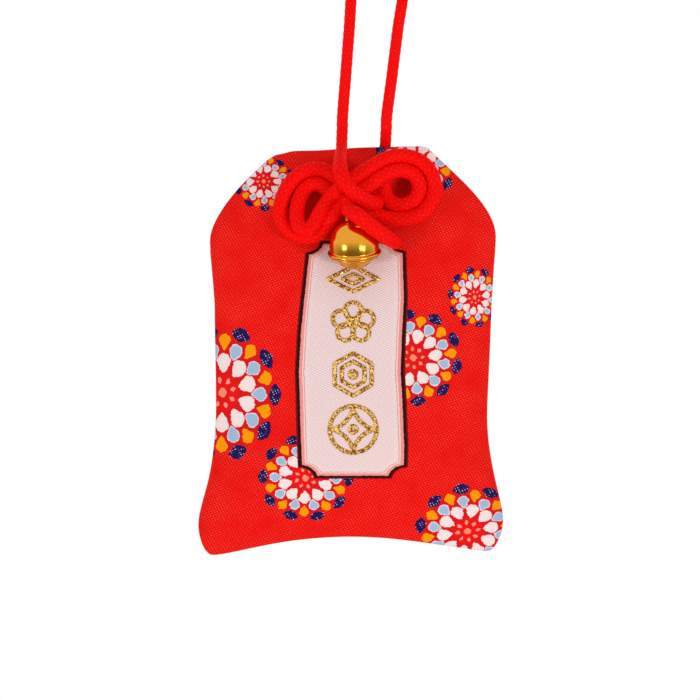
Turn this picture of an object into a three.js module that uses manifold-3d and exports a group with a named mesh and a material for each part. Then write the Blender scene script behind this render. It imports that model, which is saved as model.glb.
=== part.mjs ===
// Omamori charm: a sewn brocade pouch tied with a bow of cord, with a small bell, hung from a cord loop.
// Millimetres, +Z up, the front faces -Y. The origin is the middle of the cord at the top of the loop.
import * as THREE from 'three';
import { mergeVertices } from 'three/addons/utils/BufferGeometryUtils.js';
import Module from 'manifold-3d';

const wasm = await Module();
wasm.setup();

// Fits
const FIT = 0.3; // air left between pieces that touch on the real charm

// Hanging cord
const CORD_DIAMETER = 2.0;
const LOOP_RADIUS = 4.7; // middle of the cord, round the top of the loop
const LOOP_DROP = 34.8; // top of the loop to the pouch's top edge
const LOOP_SIDESTEP = 5.0; // the pouch hangs this far left of the loop's top
const SWING_RISE = 5.0; // where the strands bend, above the pouch's top edge
const SWING_FRONT = 1.7; // the bend is this far in front of the side seam
const LEFT_STRAND = -1.6; // across from the middle of the pouch, at the bend
const RIGHT_STRAND = 6.53;

// Pouch outline: half widths, and heights of its stretches from the top edge down
const SHOULDER_HALF_WIDTH = 26.5;
const SHOULDER_SLOPE = 12.3; // the top edge is narrower by this on each side
const SHOULDER_DROP = 17.0;
const TOP_CORNER = 2.0;
const WAIST_INSET = 1.5;
const SIDE_HEIGHT = 31.0;
const HEM_FLARE = 3.3;
const FLARE_HEIGHT = 21.3;
const CORNER_INSET = 2.7;
const CORNER_HEIGHT = 5.7;
const HEM_ARCH = 3.0; // the middle of the hem is higher than its corners
const CROWN_DROP = 42.0; // the fullest point of the pouch

// Shares of each stretch of the outline at which its curve lets go of the direction of an end
const SHOULDER_TOP_EASE = 0.34;
const SHOULDER_OUT_EASE = 0.43;
const SHOULDER_SIDE_EASE = 0.68;
const SIDE_TOP_EASE = 0.13;
const SIDE_WAIST_EASE = 0.42;
const FLARE_TOP_EASE = 0.47;
const FLARE_HEM_EASE = 0.84;
const HEM_CORNER_EASE = 0.86;
const HEM_MIDDLE_EASE = 0.47;

// Pouch sheets
const BROCADE = 0.8;
const LINING = 0.4;
const LINING_REACH = 0.78; // share of the way from the fullest point to the edge
const FRONT_CROWN = 4.5;
const BACK_CROWN = 2.2;
const BACK_FLAT_REACH = 0.66; // the back is flat out to this share
const EDGE_ROUNDING = 0.7; // power of the crown's fall to the edge
const DIMPLE_DEPTH = 2.2; // the tie draws the front in here
const DIMPLE_RADIUS = 8.0;
const DIMPLE_SIDE = 0.5;
const DIMPLE_DROP = 17.0;
const DIMPLE_FADE = 6; // power of its fading to the edge
const MOUTH_PLACE = 6.3; // the right strand goes in here, right of the middle of the top edge
const MOUTH_OPEN = 4.0; // the mouth is a cord wide out to here on both sides of the strand
const MOUTH_CLOSED = 14.0; // and closed from here on
const MOUTH_DEPTH = 12.0;
const SEAM_THREAD = 0.5;
const SEAM_REACH = 0.975;

// Inside the pouch
const WADDING_HALF_WIDTH = 13.0;
const WADDING_HALF_HEIGHT = 14.5;
const WADDING_LOWER = 1.0; // its middle, below the fullest point of the pouch
const CARD_WIDTH = 32.0;
const CARD_HEIGHT = 36.0;
const CARD_THICKNESS = 0.6;
const WRAP_PAPER = 0.3;
const TABLET_WIDTH = 25.2;
const TABLET_HEIGHT = 33.0;
const TABLET_THICKNESS = 1.2;
const TABLET_CLIP = 4.0;

// Bell
const BELL_RADIUS = 4.5;
const BELL_WALL = 0.4;
const BELL_SEAM_DROP = 1.0; // the joint of its two halves, below its middle
const BELL_RIM_OVERHANG = 0.37;
const BELL_RIM_THICKNESS = 0.35;
const BELL_LEAN = 18; // degrees that its top leans to the front
const BELL_TURN = 3; // degrees that its top leans to the left
const SLIT_WIDTH = 1.0;
const SLIT_HOLE_RADIUS = 0.9;
const SLIT_HOLE_ANGLE = 35; // degrees below the bell's middle
const SHANK_WIRE = 0.8;
const SHANK_ROOM = 0.4; // between the cord and the shank, and between the cord and the bell
const SHANK_TWIST = 15; // degrees, so that it stands square to the cord in it
const RING_SIDE = 0.26; // the middle of the shank's ring, where the tail holds it
const RING_FRONT = 10.32;
const RING_DROP = 12.55;
const PELLET_RADIUS = 1.3;

// Facets: sides of each round section, and steps along each route
const CORD_SIDES = 8;
const BOW_SIDES = 6;
const BOW_STEPS = 150;
const LOOP_STEPS = 36;
const STUB_STEPS = 8;
const WIRE_SIDES = 6;
const WIRE_STEPS = 16;
const THREAD_SIDES = 5;
const THREAD_STEPS = 64;
const BELL_SIDES = 24;
const BELL_ARC_STEPS = 7;
const HOLE_SIDES = 12;
const PAD_SIDES = 28;
const EDGE_STEPS = [3, 2, 6, 5, 5, 4, 5]; // for each stretch of the outline, from the top

// Sizes that follow from those
const CORD_RADIUS = CORD_DIAMETER / 2;
const STUB_RISE = SWING_RISE - CORD_RADIUS - FIT;
const TOP_HALF_WIDTH = SHOULDER_HALF_WIDTH - SHOULDER_SLOPE;
const WAIST_HALF_WIDTH = SHOULDER_HALF_WIDTH - WAIST_INSET;
const WAIST_DROP = SHOULDER_DROP + SIDE_HEIGHT;
const HEM_HALF_WIDTH = WAIST_HALF_WIDTH + HEM_FLARE;
const HEM_DROP = WAIST_DROP + FLARE_HEIGHT;
const CORNER_HALF_WIDTH = HEM_HALF_WIDTH - CORNER_INSET;
const CORNER_DROP = HEM_DROP + CORNER_HEIGHT;
const HEM_MIDDLE_DROP = CORNER_DROP - HEM_ARCH;
const MOUTH_HALF_GAP = CORD_RADIUS + FIT;
const SEAM_HALF_GAP = FIT / 2;
const WADDING_DROP = CROWN_DROP + WADDING_LOWER;
const CONTENTS_DROP = DIMPLE_DROP + DIMPLE_RADIUS + CARD_HEIGHT / 2; // middle of card, wrap and tablet
const BELL_RIM_RADIUS = BELL_RADIUS + BELL_RIM_OVERHANG;
const SHANK_RADIUS = CORD_RADIUS + SHANK_ROOM + SHANK_WIRE / 2;
const SHANK_REACH = BELL_RADIUS + SHANK_ROOM + CORD_RADIUS;

// The bell's top leans to the front and a little to the left, and its ring is held by the tail.
const bellLean = THREE.MathUtils.degToRad(BELL_LEAN);
const bellTurn = THREE.MathUtils.degToRad(BELL_TURN);
const BELL_UP = new THREE.Vector3(
  -Math.cos(bellLean) * Math.sin(bellTurn),
  -Math.sin(bellLean),
  Math.cos(bellLean) * Math.cos(bellTurn),
);
const RING_PLACE = new THREE.Vector3(RING_SIDE, -RING_FRONT, -RING_DROP);
const BELL_PLACE = RING_PLACE.clone().addScaledVector(BELL_UP, -SHANK_REACH);

// A point near the bell, in reaches of the shank from the bell's middle.
function roundBell(x, y, z) {
  return new THREE.Vector3(x, y, z).multiplyScalar(SHANK_REACH).add(BELL_PLACE).toArray();
}

// The bow's route from the left strand, twice round both ears, to the tail that holds the bell.
// Each ear has an inner and an outer turn. Strands from the right ear's top cross in front.
const BOW_ROUTE = [
  // left strand, down in front of the pouch's top edge
  [LEFT_STRAND, -SWING_FRONT, STUB_RISE], [-1.65, -2.3, 2.3], [-1.7, -3.0, 0.9], [-1.7, -3.3, -0.6],
  [-1.1, -4.1, -2.8], [0.4, -4.8, -5.0], [2.6, -4.8, -6.4], [4.8, -4.8, -7.5], [6.1, -4.9, -9.0],
  // right ear, inner turn
  [7.4, -5.2, -10.3], [9.4, -5.5, -10.8], [11.7, -5.3, -9.8], [12.6, -5.0, -7.6], [11.7, -4.8, -5.4],
  [9.5, -5.0, -4.45], [7.2, -5.9, -4.9], [5.0, -6.9, -6.1], [2.6, -7.5, -7.8], [0.2, -7.5, -9.4],
  [-2.1, -7.5, -11.4],
  // left ear, outer turn
  [-4.0, -7.2, -14.0], [-6.0, -6.7, -16.4], [-8.9, -6.2, -17.0], [-11.5, -5.8, -15.7],
  [-12.9, -5.5, -13.1], [-12.7, -5.2, -10.0], [-11.3, -5.0, -7.0], [-8.9, -4.8, -4.8],
  [-5.9, -4.8, -4.2], [-3.3, -5.0, -5.3], [-1.2, -5.0, -7.5], [0.9, -5.0, -10.0], [3.5, -5.3, -12.0],
  // right ear, outer turn
  [6.5, -5.8, -13.2], [9.5, -6.0, -13.4], [12.8, -5.7, -12.4], [14.8, -5.2, -10.1], [15.4, -4.7, -7.6],
  [14.6, -4.4, -4.7], [12.5, -4.3, -2.6], [9.5, -4.4, -1.75], [6.5, -5.2, -2.3], [3.7, -6.4, -3.9],
  [1.1, -7.5, -5.6], [-1.5, -7.6, -7.4], [-3.8, -7.6, -9.7], [-5.6, -7.6, -12.2], [-7.0, -7.5, -14.2],
  // left ear, inner turn
  [-8.4, -7.1, -14.7], [-9.6, -6.5, -13.7], [-10.1, -5.9, -11.8], [-9.6, -5.5, -9.5],
  [-8.3, -5.2, -7.7], [-6.5, -5.0, -6.9], [-4.6, -5.0, -7.8], [-3.3, -5.0, -9.4],
  // tail, out from under the bow to the bell's shank
  [-2.0, -5.0, -10.9], [-0.8, -5.1, -12.0], [0.25, -6.3, -12.6], [0.45, -8.3, -12.25],
  // through the shank, over the bell's shoulder and back to the cloth
  RING_PLACE.toArray(), roundBell(0.16, -0.63, 0.79), roundBell(0.44, -0.7, 0.57),
  roundBell(0.75, -0.56, 0.35), roundBell(1.04, -0.19, 0.18), roundBell(1.26, 0.25, 0.06),
  roundBell(1.35, 0.54, 0.01),
];

// The right strand's route, from the bend down between the panels into the top hem.
const HEM_CORD_ROUTE = [
  [RIGHT_STRAND, -SWING_FRONT, STUB_RISE], [6.45, -0.9, 2.4], [6.4, -0.2, 1.2], [MOUTH_PLACE, 0, 0],
  [6.2, 0, -2], [6.1, -0.2, -4.2], [6.0, -0.4, -6.2],
];

// The hanging loop's route: straight up the left strand, over the top and down the right strand.
const LOOP_TOP = [-90, -60, -30, 0, 30, 60, 90].map((degrees) => {
  const angle = THREE.MathUtils.degToRad(degrees);
  return [LOOP_RADIUS * Math.sin(angle), 0, LOOP_RADIUS * (Math.cos(angle) - 1)];
});
const [LEFT_END, RIGHT_END] = [LEFT_STRAND, RIGHT_STRAND].map(
  (strand) => [strand - LOOP_SIDESTEP, 0, SWING_RISE - LOOP_DROP],
);

function between(from, to, share) {
  return from.map((value, i) => THREE.MathUtils.lerp(value, to[i], share));
}

const LOOP_ROUTE = [
  LEFT_END, between(LEFT_END, LOOP_TOP[0], 1 / 3), between(LEFT_END, LOOP_TOP[0], 2 / 3),
  ...LOOP_TOP,
  between(LOOP_TOP.at(-1), RIGHT_END, 1 / 3), between(LOOP_TOP.at(-1), RIGHT_END, 2 / 3), RIGHT_END,
];

// Turns a geometry into one closed solid: shared corners merged, empty triangles dropped, faces out.
function solid(geometry) {
  const bare = geometry.clone();
  bare.deleteAttribute('normal');
  bare.deleteAttribute('uv');
  const merged = mergeVertices(bare, 1e-4);
  const place = merged.attributes.position;
  const corner = [new THREE.Vector3(), new THREE.Vector3(), new THREE.Vector3()];
  const faces = [];
  let volume = 0;
  for (let i = 0; i < merged.index.count; i += 3) {
    const face = [0, 1, 2].map((k) => merged.index.getX(i + k));
    if (new Set(face).size < 3) continue;
    face.forEach((vertex, k) => corner[k].fromBufferAttribute(place, vertex));
    volume += corner[0].dot(corner[1].clone().cross(corner[2]));
    faces.push(face);
  }
  merged.setIndex(faces.flatMap(([a, b, c]) => (volume < 0 ? [a, c, b] : [a, b, c])));
  merged.computeVertexNormals();
  return merged;
}

// Cuts or joins two closed geometries.
function combine(geometry, operation, other) {
  const [body, tool] = [geometry, other].map((shape) => {
    const closed = solid(shape);
    return new wasm.Manifold(new wasm.Mesh({
      numProp: 3,
      vertProperties: new Float32Array(closed.attributes.position.array),
      triVerts: new Uint32Array(closed.index.array),
    }));
  });
  const mesh = body[operation](tool).getMesh();
  const result = new THREE.BufferGeometry();
  result.setAttribute('position', new THREE.BufferAttribute(new Float32Array(mesh.vertProperties), 3));
  result.setIndex([...mesh.triVerts]);
  return result;
}

// A round section of a given number of sides, carried along a route of points.
function tube(route, radius, sides, steps) {
  const path = new THREE.CatmullRomCurve3(route.map((point) => new THREE.Vector3(...point)));
  const section = new THREE.Shape();
  for (let i = 0; i < sides; i += 1) {
    const angle = (2 * Math.PI * i) / sides;
    section[i ? 'lineTo' : 'moveTo'](radius * Math.cos(angle), radius * Math.sin(angle));
  }
  section.closePath();
  return new THREE.ExtrudeGeometry(section, { steps, extrudePath: path, bevelEnabled: false });
}

function smoothRise(from, to, value) {
  return THREE.MathUtils.smoothstep(value, from, to);
}

// Pouch outline
// Half of the pouch's edge, from the middle of the top to the middle of the hem, as one path.
function halfEdge() {
  const edge = new THREE.Path();
  edge.moveTo(0, 0);
  edge.lineTo(TOP_HALF_WIDTH - TOP_CORNER, 0);
  edge.quadraticCurveTo(TOP_HALF_WIDTH - TOP_CORNER / 3, 0, TOP_HALF_WIDTH, -TOP_CORNER / 3);
  edge.bezierCurveTo(
    TOP_HALF_WIDTH + SHOULDER_OUT_EASE * SHOULDER_SLOPE, -SHOULDER_TOP_EASE * SHOULDER_DROP,
    SHOULDER_HALF_WIDTH, -SHOULDER_SIDE_EASE * SHOULDER_DROP,
    SHOULDER_HALF_WIDTH, -SHOULDER_DROP,
  );
  edge.bezierCurveTo(
    SHOULDER_HALF_WIDTH, -SHOULDER_DROP - SIDE_TOP_EASE * SIDE_HEIGHT,
    WAIST_HALF_WIDTH, -SHOULDER_DROP - SIDE_WAIST_EASE * SIDE_HEIGHT,
    WAIST_HALF_WIDTH, -WAIST_DROP,
  );
  edge.bezierCurveTo(
    WAIST_HALF_WIDTH, -WAIST_DROP - FLARE_TOP_EASE * FLARE_HEIGHT,
    HEM_HALF_WIDTH, -WAIST_DROP - FLARE_HEM_EASE * FLARE_HEIGHT,
    HEM_HALF_WIDTH, -HEM_DROP,
  );
  edge.bezierCurveTo(
    HEM_HALF_WIDTH, -HEM_DROP - CORNER_HEIGHT / 2,
    HEM_HALF_WIDTH - CORNER_INSET / 2, -CORNER_DROP,
    CORNER_HALF_WIDTH, -CORNER_DROP,
  );
  edge.bezierCurveTo(
    HEM_CORNER_EASE * CORNER_HALF_WIDTH, -CORNER_DROP,
    HEM_MIDDLE_EASE * CORNER_HALF_WIDTH, -HEM_MIDDLE_DROP,
    0, -HEM_MIDDLE_DROP,
  );
  return edge;
}

// Points of the whole edge, clockwise from the middle of the top, with more where it turns.
function pouchEdge(stretchSteps) {
  const stretches = halfEdge().curves.map((curve, i) => curve.getSpacedPoints(stretchSteps[i]).slice(1));
  const right = [new THREE.Vector2(0, 0), ...stretches.flat()];
  const left = right.slice(1, -1).reverse().map((point) => new THREE.Vector2(-point.x, point.y));
  return [...right, ...left];
}

// A closed sheet between two faces. Rings shrink from the edge to its middle, and each face gives a
// depth for a share of the way to the edge, the edge point's drop, and the point itself.
function sheet(edge, middleDrop, shares, frontFace, backFace) {
  const count = edge.length;
  const vertices = [];
  const triangles = [];
  for (const face of [frontFace, backFace]) {
    vertices.push(0, face(0, -middleDrop, 0, -middleDrop), -middleDrop);
    for (const share of shares) {
      for (const point of edge) {
        const x = share * point.x;
        const z = -middleDrop + share * (point.y + middleDrop);
        vertices.push(x, face(share, point.y, x, z), z);
      }
    }
  }
  const half = 1 + count * shares.length;
  for (let i = 0; i < count; i += 1) {
    const next = (i + 1) % count;
    triangles.push(0, 1 + next, 1 + i);
    triangles.push(half, half + 1 + i, half + 1 + next);
    for (let ring = 1; ring < shares.length; ring += 1) {
      const inner = 1 + (ring - 1) * count;
      const outer = inner + count;
      triangles.push(inner + i, inner + next, outer + next, inner + i, outer + next, outer + i);
      const [a, b, c, d] = [inner + i, inner + next, outer + next, outer + i].map((v) => v + half);
      triangles.push(a, c, b, a, d, c);
    }
    const rim = half - count;
    triangles.push(rim + i, rim + next, half + rim + next, rim + i, half + rim + next, half + rim + i);
  }
  const geometry = new THREE.BufferGeometry();
  geometry.setAttribute('position', new THREE.Float32BufferAttribute(vertices, 3));
  geometry.setIndex(triangles);
  return geometry;
}

// How far the two panels stand from the seam's plane at their edge: close together all round, and
// a cord apart at the mouth, where the right strand goes in at the top.
function edgeGap(share, edgeDrop, x) {
  const nearTop = smoothRise(-MOUTH_DEPTH, 0, edgeDrop);
  const mouth = nearTop * (1 - smoothRise(MOUTH_OPEN, MOUTH_CLOSED, Math.abs(x - MOUTH_PLACE)));
  return SEAM_HALF_GAP + (MOUTH_HALF_GAP - SEAM_HALF_GAP) * mouth * share * share;
}

function crown(share) {
  return (1 - share * share) ** EDGE_ROUNDING;
}

function dimple(x, z) {
  const away = Math.hypot(x - DIMPLE_SIDE, z + DIMPLE_DROP) / DIMPLE_RADIUS;
  return DIMPLE_DEPTH * Math.exp(-away * away);
}

// Inner faces of the two panels. Everything in the pouch is laid against these.
function frontInside(share, edgeDrop, x, z) {
  const drawnIn = dimple(x, z) * (1 - share ** DIMPLE_FADE);
  return drawnIn - edgeGap(share, edgeDrop, x) - FRONT_CROWN * crown(share);
}

function backInside(share, edgeDrop, x) {
  const past = Math.max(0, (share - BACK_FLAT_REACH) / (1 - BACK_FLAT_REACH));
  return edgeGap(past, edgeDrop, x) + BACK_CROWN * crown(past);
}

// A face moved through the pouch by a distance, to the back where that is positive.
function moved(face, distance) {
  return (...place) => face(...place) + distance;
}

// The panels have every ring that the linings have, so that their facets lie side by side.
const EDGE = pouchEdge(EDGE_STEPS);
const LINING_RINGS = [0.3, 0.57, 0.82, 1].map((share) => share * BACK_FLAT_REACH).concat(LINING_REACH);
const PANEL_RINGS = LINING_RINGS.concat(
  [0.46, 0.78, 1].map((share) => THREE.MathUtils.lerp(LINING_REACH, 1, share)),
);

function frontPanel() {
  return sheet(EDGE, CROWN_DROP, PANEL_RINGS, moved(frontInside, -BROCADE), frontInside);
}

function backPanel() {
  return sheet(EDGE, CROWN_DROP, PANEL_RINGS, backInside, moved(backInside, BROCADE));
}

function frontLining() {
  const front = moved(frontInside, FIT);
  return sheet(EDGE, CROWN_DROP, LINING_RINGS, front, moved(front, LINING));
}

function backLining() {
  const back = moved(backInside, -FIT);
  return sheet(EDGE, CROWN_DROP, LINING_RINGS, moved(back, -LINING), back);
}

// Thread of the seam down one side, along the hem and up the other side, between the panels.
function seamThread() {
  const route = EDGE
    .filter((point) => point.y < -SHOULDER_DROP / 2)
    .map((point) => [SEAM_REACH * point.x, 0, -CROWN_DROP + SEAM_REACH * (point.y + CROWN_DROP)]);
  return tube(route, SEAM_THREAD / 2, THREAD_SIDES, THREAD_STEPS);
}

// The contents, stacked from the flat of the back lining to the front
const WRAP_BACK = SEAM_HALF_GAP + BACK_CROWN - FIT - LINING - FIT;
const TABLET_BACK = WRAP_BACK - WRAP_PAPER - FIT;
const WRAP_FRONT = TABLET_BACK - TABLET_THICKNESS - FIT - WRAP_PAPER;
const CARD_BACK = WRAP_FRONT - FIT;
const WADDING_BACK = CARD_BACK - CARD_THICKNESS - FIT;

// Pulls a flat outline in X and Z out to the front, from its back face.
function flatPiece(shape, thickness, back, drop) {
  const geometry = new THREE.ExtrudeGeometry(shape, { depth: thickness, bevelEnabled: false });
  geometry.rotateX(Math.PI / 2);
  geometry.translate(0, back, -drop);
  return geometry;
}

function rectangle(path, width, height) {
  path.moveTo(-width / 2, -height / 2);
  path.lineTo(width / 2, -height / 2);
  path.lineTo(width / 2, height / 2);
  path.lineTo(-width / 2, height / 2);
  path.closePath();
  return path;
}

function stiffenerCard() {
  const shape = rectangle(new THREE.Shape(), CARD_WIDTH, CARD_HEIGHT);
  return flatPiece(shape, CARD_THICKNESS, CARD_BACK, CONTENTS_DROP);
}

// A slip with clipped upper corners, as inner tablets have.
function innerTablet() {
  const half = TABLET_WIDTH / 2;
  const rise = TABLET_HEIGHT / 2;
  const shape = new THREE.Shape();
  shape.moveTo(-half, -rise);
  shape.lineTo(half, -rise);
  shape.lineTo(half, rise - TABLET_CLIP);
  shape.lineTo(half - TABLET_CLIP, rise);
  shape.lineTo(-half + TABLET_CLIP, rise);
  shape.lineTo(-half, rise - TABLET_CLIP);
  shape.closePath();
  return flatPiece(shape, TABLET_THICKNESS, TABLET_BACK, CONTENTS_DROP);
}

// A paper sleeve round the tablet, open at both ends.
function paperWrap() {
  const room = TABLET_THICKNESS + 2 * FIT;
  const section = rectangle(
    new THREE.Shape(),
    TABLET_WIDTH + 2 * (FIT + WRAP_PAPER),
    room + 2 * WRAP_PAPER,
  );
  section.holes.push(rectangle(new THREE.Path(), TABLET_WIDTH + 2 * FIT, room));
  const geometry = new THREE.ExtrudeGeometry(section, { depth: TABLET_HEIGHT, bevelEnabled: false });
  geometry.translate(0, (WRAP_BACK + WRAP_FRONT) / 2, -CONTENTS_DROP - TABLET_HEIGHT / 2);
  return geometry;
}

// Share of the way from the pouch's fullest point to its edge, at any point.
function shareAt(x, z) {
  const heading = Math.atan2(x, z + CROWN_DROP);
  const nearest = EDGE.reduce((best, point) => {
    const turn = Math.abs(Math.atan2(point.x, point.y + CROWN_DROP) - heading);
    return turn < best.turn ? { turn, point } : best;
  }, { turn: Infinity, point: EDGE[0] });
  return Math.hypot(x, z + CROWN_DROP) / Math.hypot(nearest.point.x, nearest.point.y + CROWN_DROP);
}

// A soft oval pad: flat behind on the card, crowned in front under the lining.
function waddingPad() {
  const oval = new THREE.EllipseCurve(0, -WADDING_DROP, WADDING_HALF_WIDTH, WADDING_HALF_HEIGHT);
  const edge = oval.getPoints(PAD_SIDES).slice(0, -1).reverse();
  const thinEdge = WADDING_BACK - LINING;
  const front = (share, edgeDrop, x, z) => {
    const underLining = frontInside(shareAt(x, z), edgeDrop, x, z) + FIT + LINING + FIT;
    return thinEdge + (underLining - thinEdge) * crown(share);
  };
  return sheet(edge, WADDING_DROP, [0.35, 0.65, 0.87, 1], front, () => WADDING_BACK);
}

// Cords
function bowKnot() {
  return tube(BOW_ROUTE, CORD_RADIUS, BOW_SIDES, BOW_STEPS);
}

function hemCord() {
  return tube(HEM_CORD_ROUTE, CORD_RADIUS, CORD_SIDES, STUB_STEPS);
}

// The loop's two strands end in round tips on the line about which the pouch swings.
function hangingLoop() {
  return [LEFT_END, RIGHT_END].reduce((cord, end) => {
    const tip = new THREE.SphereGeometry(CORD_RADIUS, CORD_SIDES, CORD_SIDES / 2);
    tip.rotateX(Math.PI / 2);
    tip.translate(...end);
    return combine(cord, 'add', tip);
  }, tube(LOOP_ROUTE, CORD_RADIUS, CORD_SIDES, LOOP_STEPS));
}

// Least air between stretches of one cord that are more than three diameters apart along it. The
// points on its middle line are a tenth of a diameter apart.
function leastGap(route, diameter) {
  const path = new THREE.CatmullRomCurve3(route.map((point) => new THREE.Vector3(...point)));
  const steps = Math.ceil((10 * path.getLength()) / diameter);
  const points = path.getSpacedPoints(steps);
  const apart = 30;
  let least = Infinity;
  for (let i = 0; i < points.length; i += 1) {
    for (let j = i + apart; j < points.length; j += 1) {
      least = Math.min(least, points[i].distanceTo(points[j]) - diameter);
    }
  }
  return least;
}

console.log(`bow_knot, least gap to itself: ${leastGap(BOW_ROUTE, CORD_DIAMETER).toFixed(2)} mm`);
console.log(`hanging_loop, least gap to itself: ${leastGap(LOOP_ROUTE, CORD_DIAMETER).toFixed(2)} mm`);

// Bell, in its own frame with its shank up +Z
// Points of an arc round the bell's middle between two heights, from the first to the second.
function wallArc(radius, fromHeight, toHeight, steps) {
  const from = Math.asin(fromHeight / radius);
  const to = Math.asin(toHeight / radius);
  return Array.from({ length: steps + 1 }, (unused, i) => {
    const angle = from + ((to - from) * i) / steps;
    return new THREE.Vector2(radius * Math.cos(angle), radius * Math.sin(angle));
  });
}

// One half of the bell, from its pole to the rolled rim where the halves meet.
function bellHalf(side) {
  const seam = -BELL_SEAM_DROP + (side * FIT) / 2;
  const rim = seam + side * BELL_RIM_THICKNESS;
  const inner = BELL_RADIUS - BELL_WALL;
  const profile = [
    ...wallArc(BELL_RADIUS, side * BELL_RADIUS, rim, BELL_ARC_STEPS),
    new THREE.Vector2(BELL_RIM_RADIUS, rim),
    new THREE.Vector2(BELL_RIM_RADIUS, seam),
    ...wallArc(inner, seam, side * inner, BELL_ARC_STEPS),
  ];
  profile[0].x = 0;
  profile[profile.length - 1].x = 0;
  const geometry = new THREE.LatheGeometry(profile, BELL_SIDES);
  geometry.rotateX(Math.PI / 2);
  return geometry;
}

// The lower half has the sound slit: a straight cut across its pole between two round holes.
function bellLowerShell() {
  const angle = THREE.MathUtils.degToRad(SLIT_HOLE_ANGLE);
  const holeOut = BELL_RADIUS * Math.cos(angle);
  const holeDown = BELL_RADIUS * Math.sin(angle);
  const cut = new THREE.BoxGeometry(2 * holeOut, SLIT_WIDTH, BELL_RADIUS);
  cut.translate(0, 0, -holeDown - BELL_RADIUS / 2);
  return [-1, 1].reduce((shell, side) => {
    const hole = new THREE.CylinderGeometry(SLIT_HOLE_RADIUS, SLIT_HOLE_RADIUS, 4 * BELL_WALL, HOLE_SIDES);
    hole.rotateX(Math.PI / 2);
    hole.rotateY(side * (Math.PI / 2 + angle));
    hole.translate(side * holeOut, 0, -holeDown);
    return combine(shell, 'subtract', hole);
  }, combine(bellHalf(-1), 'subtract', cut));
}

// Bent wire that stands on the bell's pole and holds the cord. It is a ring round the cord, open
// where it would come nearer to the bell than a fit.
function bellShank() {
  const foot = BELL_RADIUS + FIT + SHANK_WIRE / 2;
  const opening = (foot ** 2 - SHANK_REACH ** 2 - SHANK_RADIUS ** 2) / (2 * SHANK_REACH * SHANK_RADIUS);
  const end = Math.acos(opening);
  const route = [-1, -0.75, -0.5, -0.25, 0, 0.25, 0.5, 0.75, 1].map((share) => {
    const angle = share * end;
    return [SHANK_RADIUS * Math.sin(angle), 0, SHANK_REACH + SHANK_RADIUS * Math.cos(angle)];
  });
  const geometry = tube(route, SHANK_WIRE / 2, WIRE_SIDES, WIRE_STEPS);
  geometry.rotateZ(THREE.MathUtils.degToRad(SHANK_TWIST));
  return geometry;
}

// Assembly
const BROCADE_RED = { color: 0xdc140f, roughness: 0.6, metalness: 0 };
const CORD_RED = { color: 0xe50f0c, roughness: 0.75, metalness: 0 };
const LINING_WHITE = { color: 0xe9e4da, roughness: 0.9, metalness: 0 };
const CARD_GREY = { color: 0xb7ad9c, roughness: 0.9, metalness: 0 };
const PAPER_WHITE = { color: 0xf3efe4, roughness: 0.85, metalness: 0 };
const CEDAR = { color: 0xc9a06a, roughness: 0.7, metalness: 0 };
const BELL_GOLD = { color: 0xd9961e, roughness: 0.2, metalness: 1 };
const STEEL = { color: 0xa8a8a4, roughness: 0.3, metalness: 1 };

function piece(name, geometry, finish) {
  const mesh = new THREE.Mesh(solid(geometry), new THREE.MeshStandardMaterial(finish));
  mesh.name = name;
  return mesh;
}

const bell = new THREE.Group();
bell.position.copy(BELL_PLACE);
bell.quaternion.setFromUnitVectors(new THREE.Vector3(0, 0, 1), BELL_UP);
bell.add(
  piece('bell_upper_shell', bellHalf(1), BELL_GOLD),
  piece('bell_lower_shell', bellLowerShell(), BELL_GOLD),
  piece('bell_shank', bellShank(), BELL_GOLD),
);

// The pellet lies at the lowest point inside the bell.
const pellet = piece('bell_pellet', new THREE.IcosahedronGeometry(PELLET_RADIUS, 2), STEEL);
const pelletDrop = BELL_RADIUS - BELL_WALL - PELLET_RADIUS - FIT;
pellet.position.copy(BELL_PLACE).add(new THREE.Vector3(0, 0, -pelletDrop));

const pouch = new THREE.Group();
pouch.position.set(-LOOP_SIDESTEP, SWING_FRONT, -LOOP_DROP);
pouch.add(
  piece('front_panel', frontPanel(), BROCADE_RED),
  piece('back_panel', backPanel(), BROCADE_RED),
  piece('front_lining', frontLining(), LINING_WHITE),
  piece('back_lining', backLining(), LINING_WHITE),
  piece('seam_thread', seamThread(), CORD_RED),
  piece('wadding_pad', waddingPad(), LINING_WHITE),
  piece('stiffener_card', stiffenerCard(), CARD_GREY),
  piece('paper_wrap', paperWrap(), PAPER_WHITE),
  piece('inner_tablet', innerTablet(), CEDAR),
  piece('bow_knot', bowKnot(), CORD_RED),
  piece('hem_cord', hemCord(), CORD_RED),
  bell,
  pellet,
);

const charm = new THREE.Group();
charm.add(piece('hanging_loop', hangingLoop(), CORD_RED), pouch);

export default charm;
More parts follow.
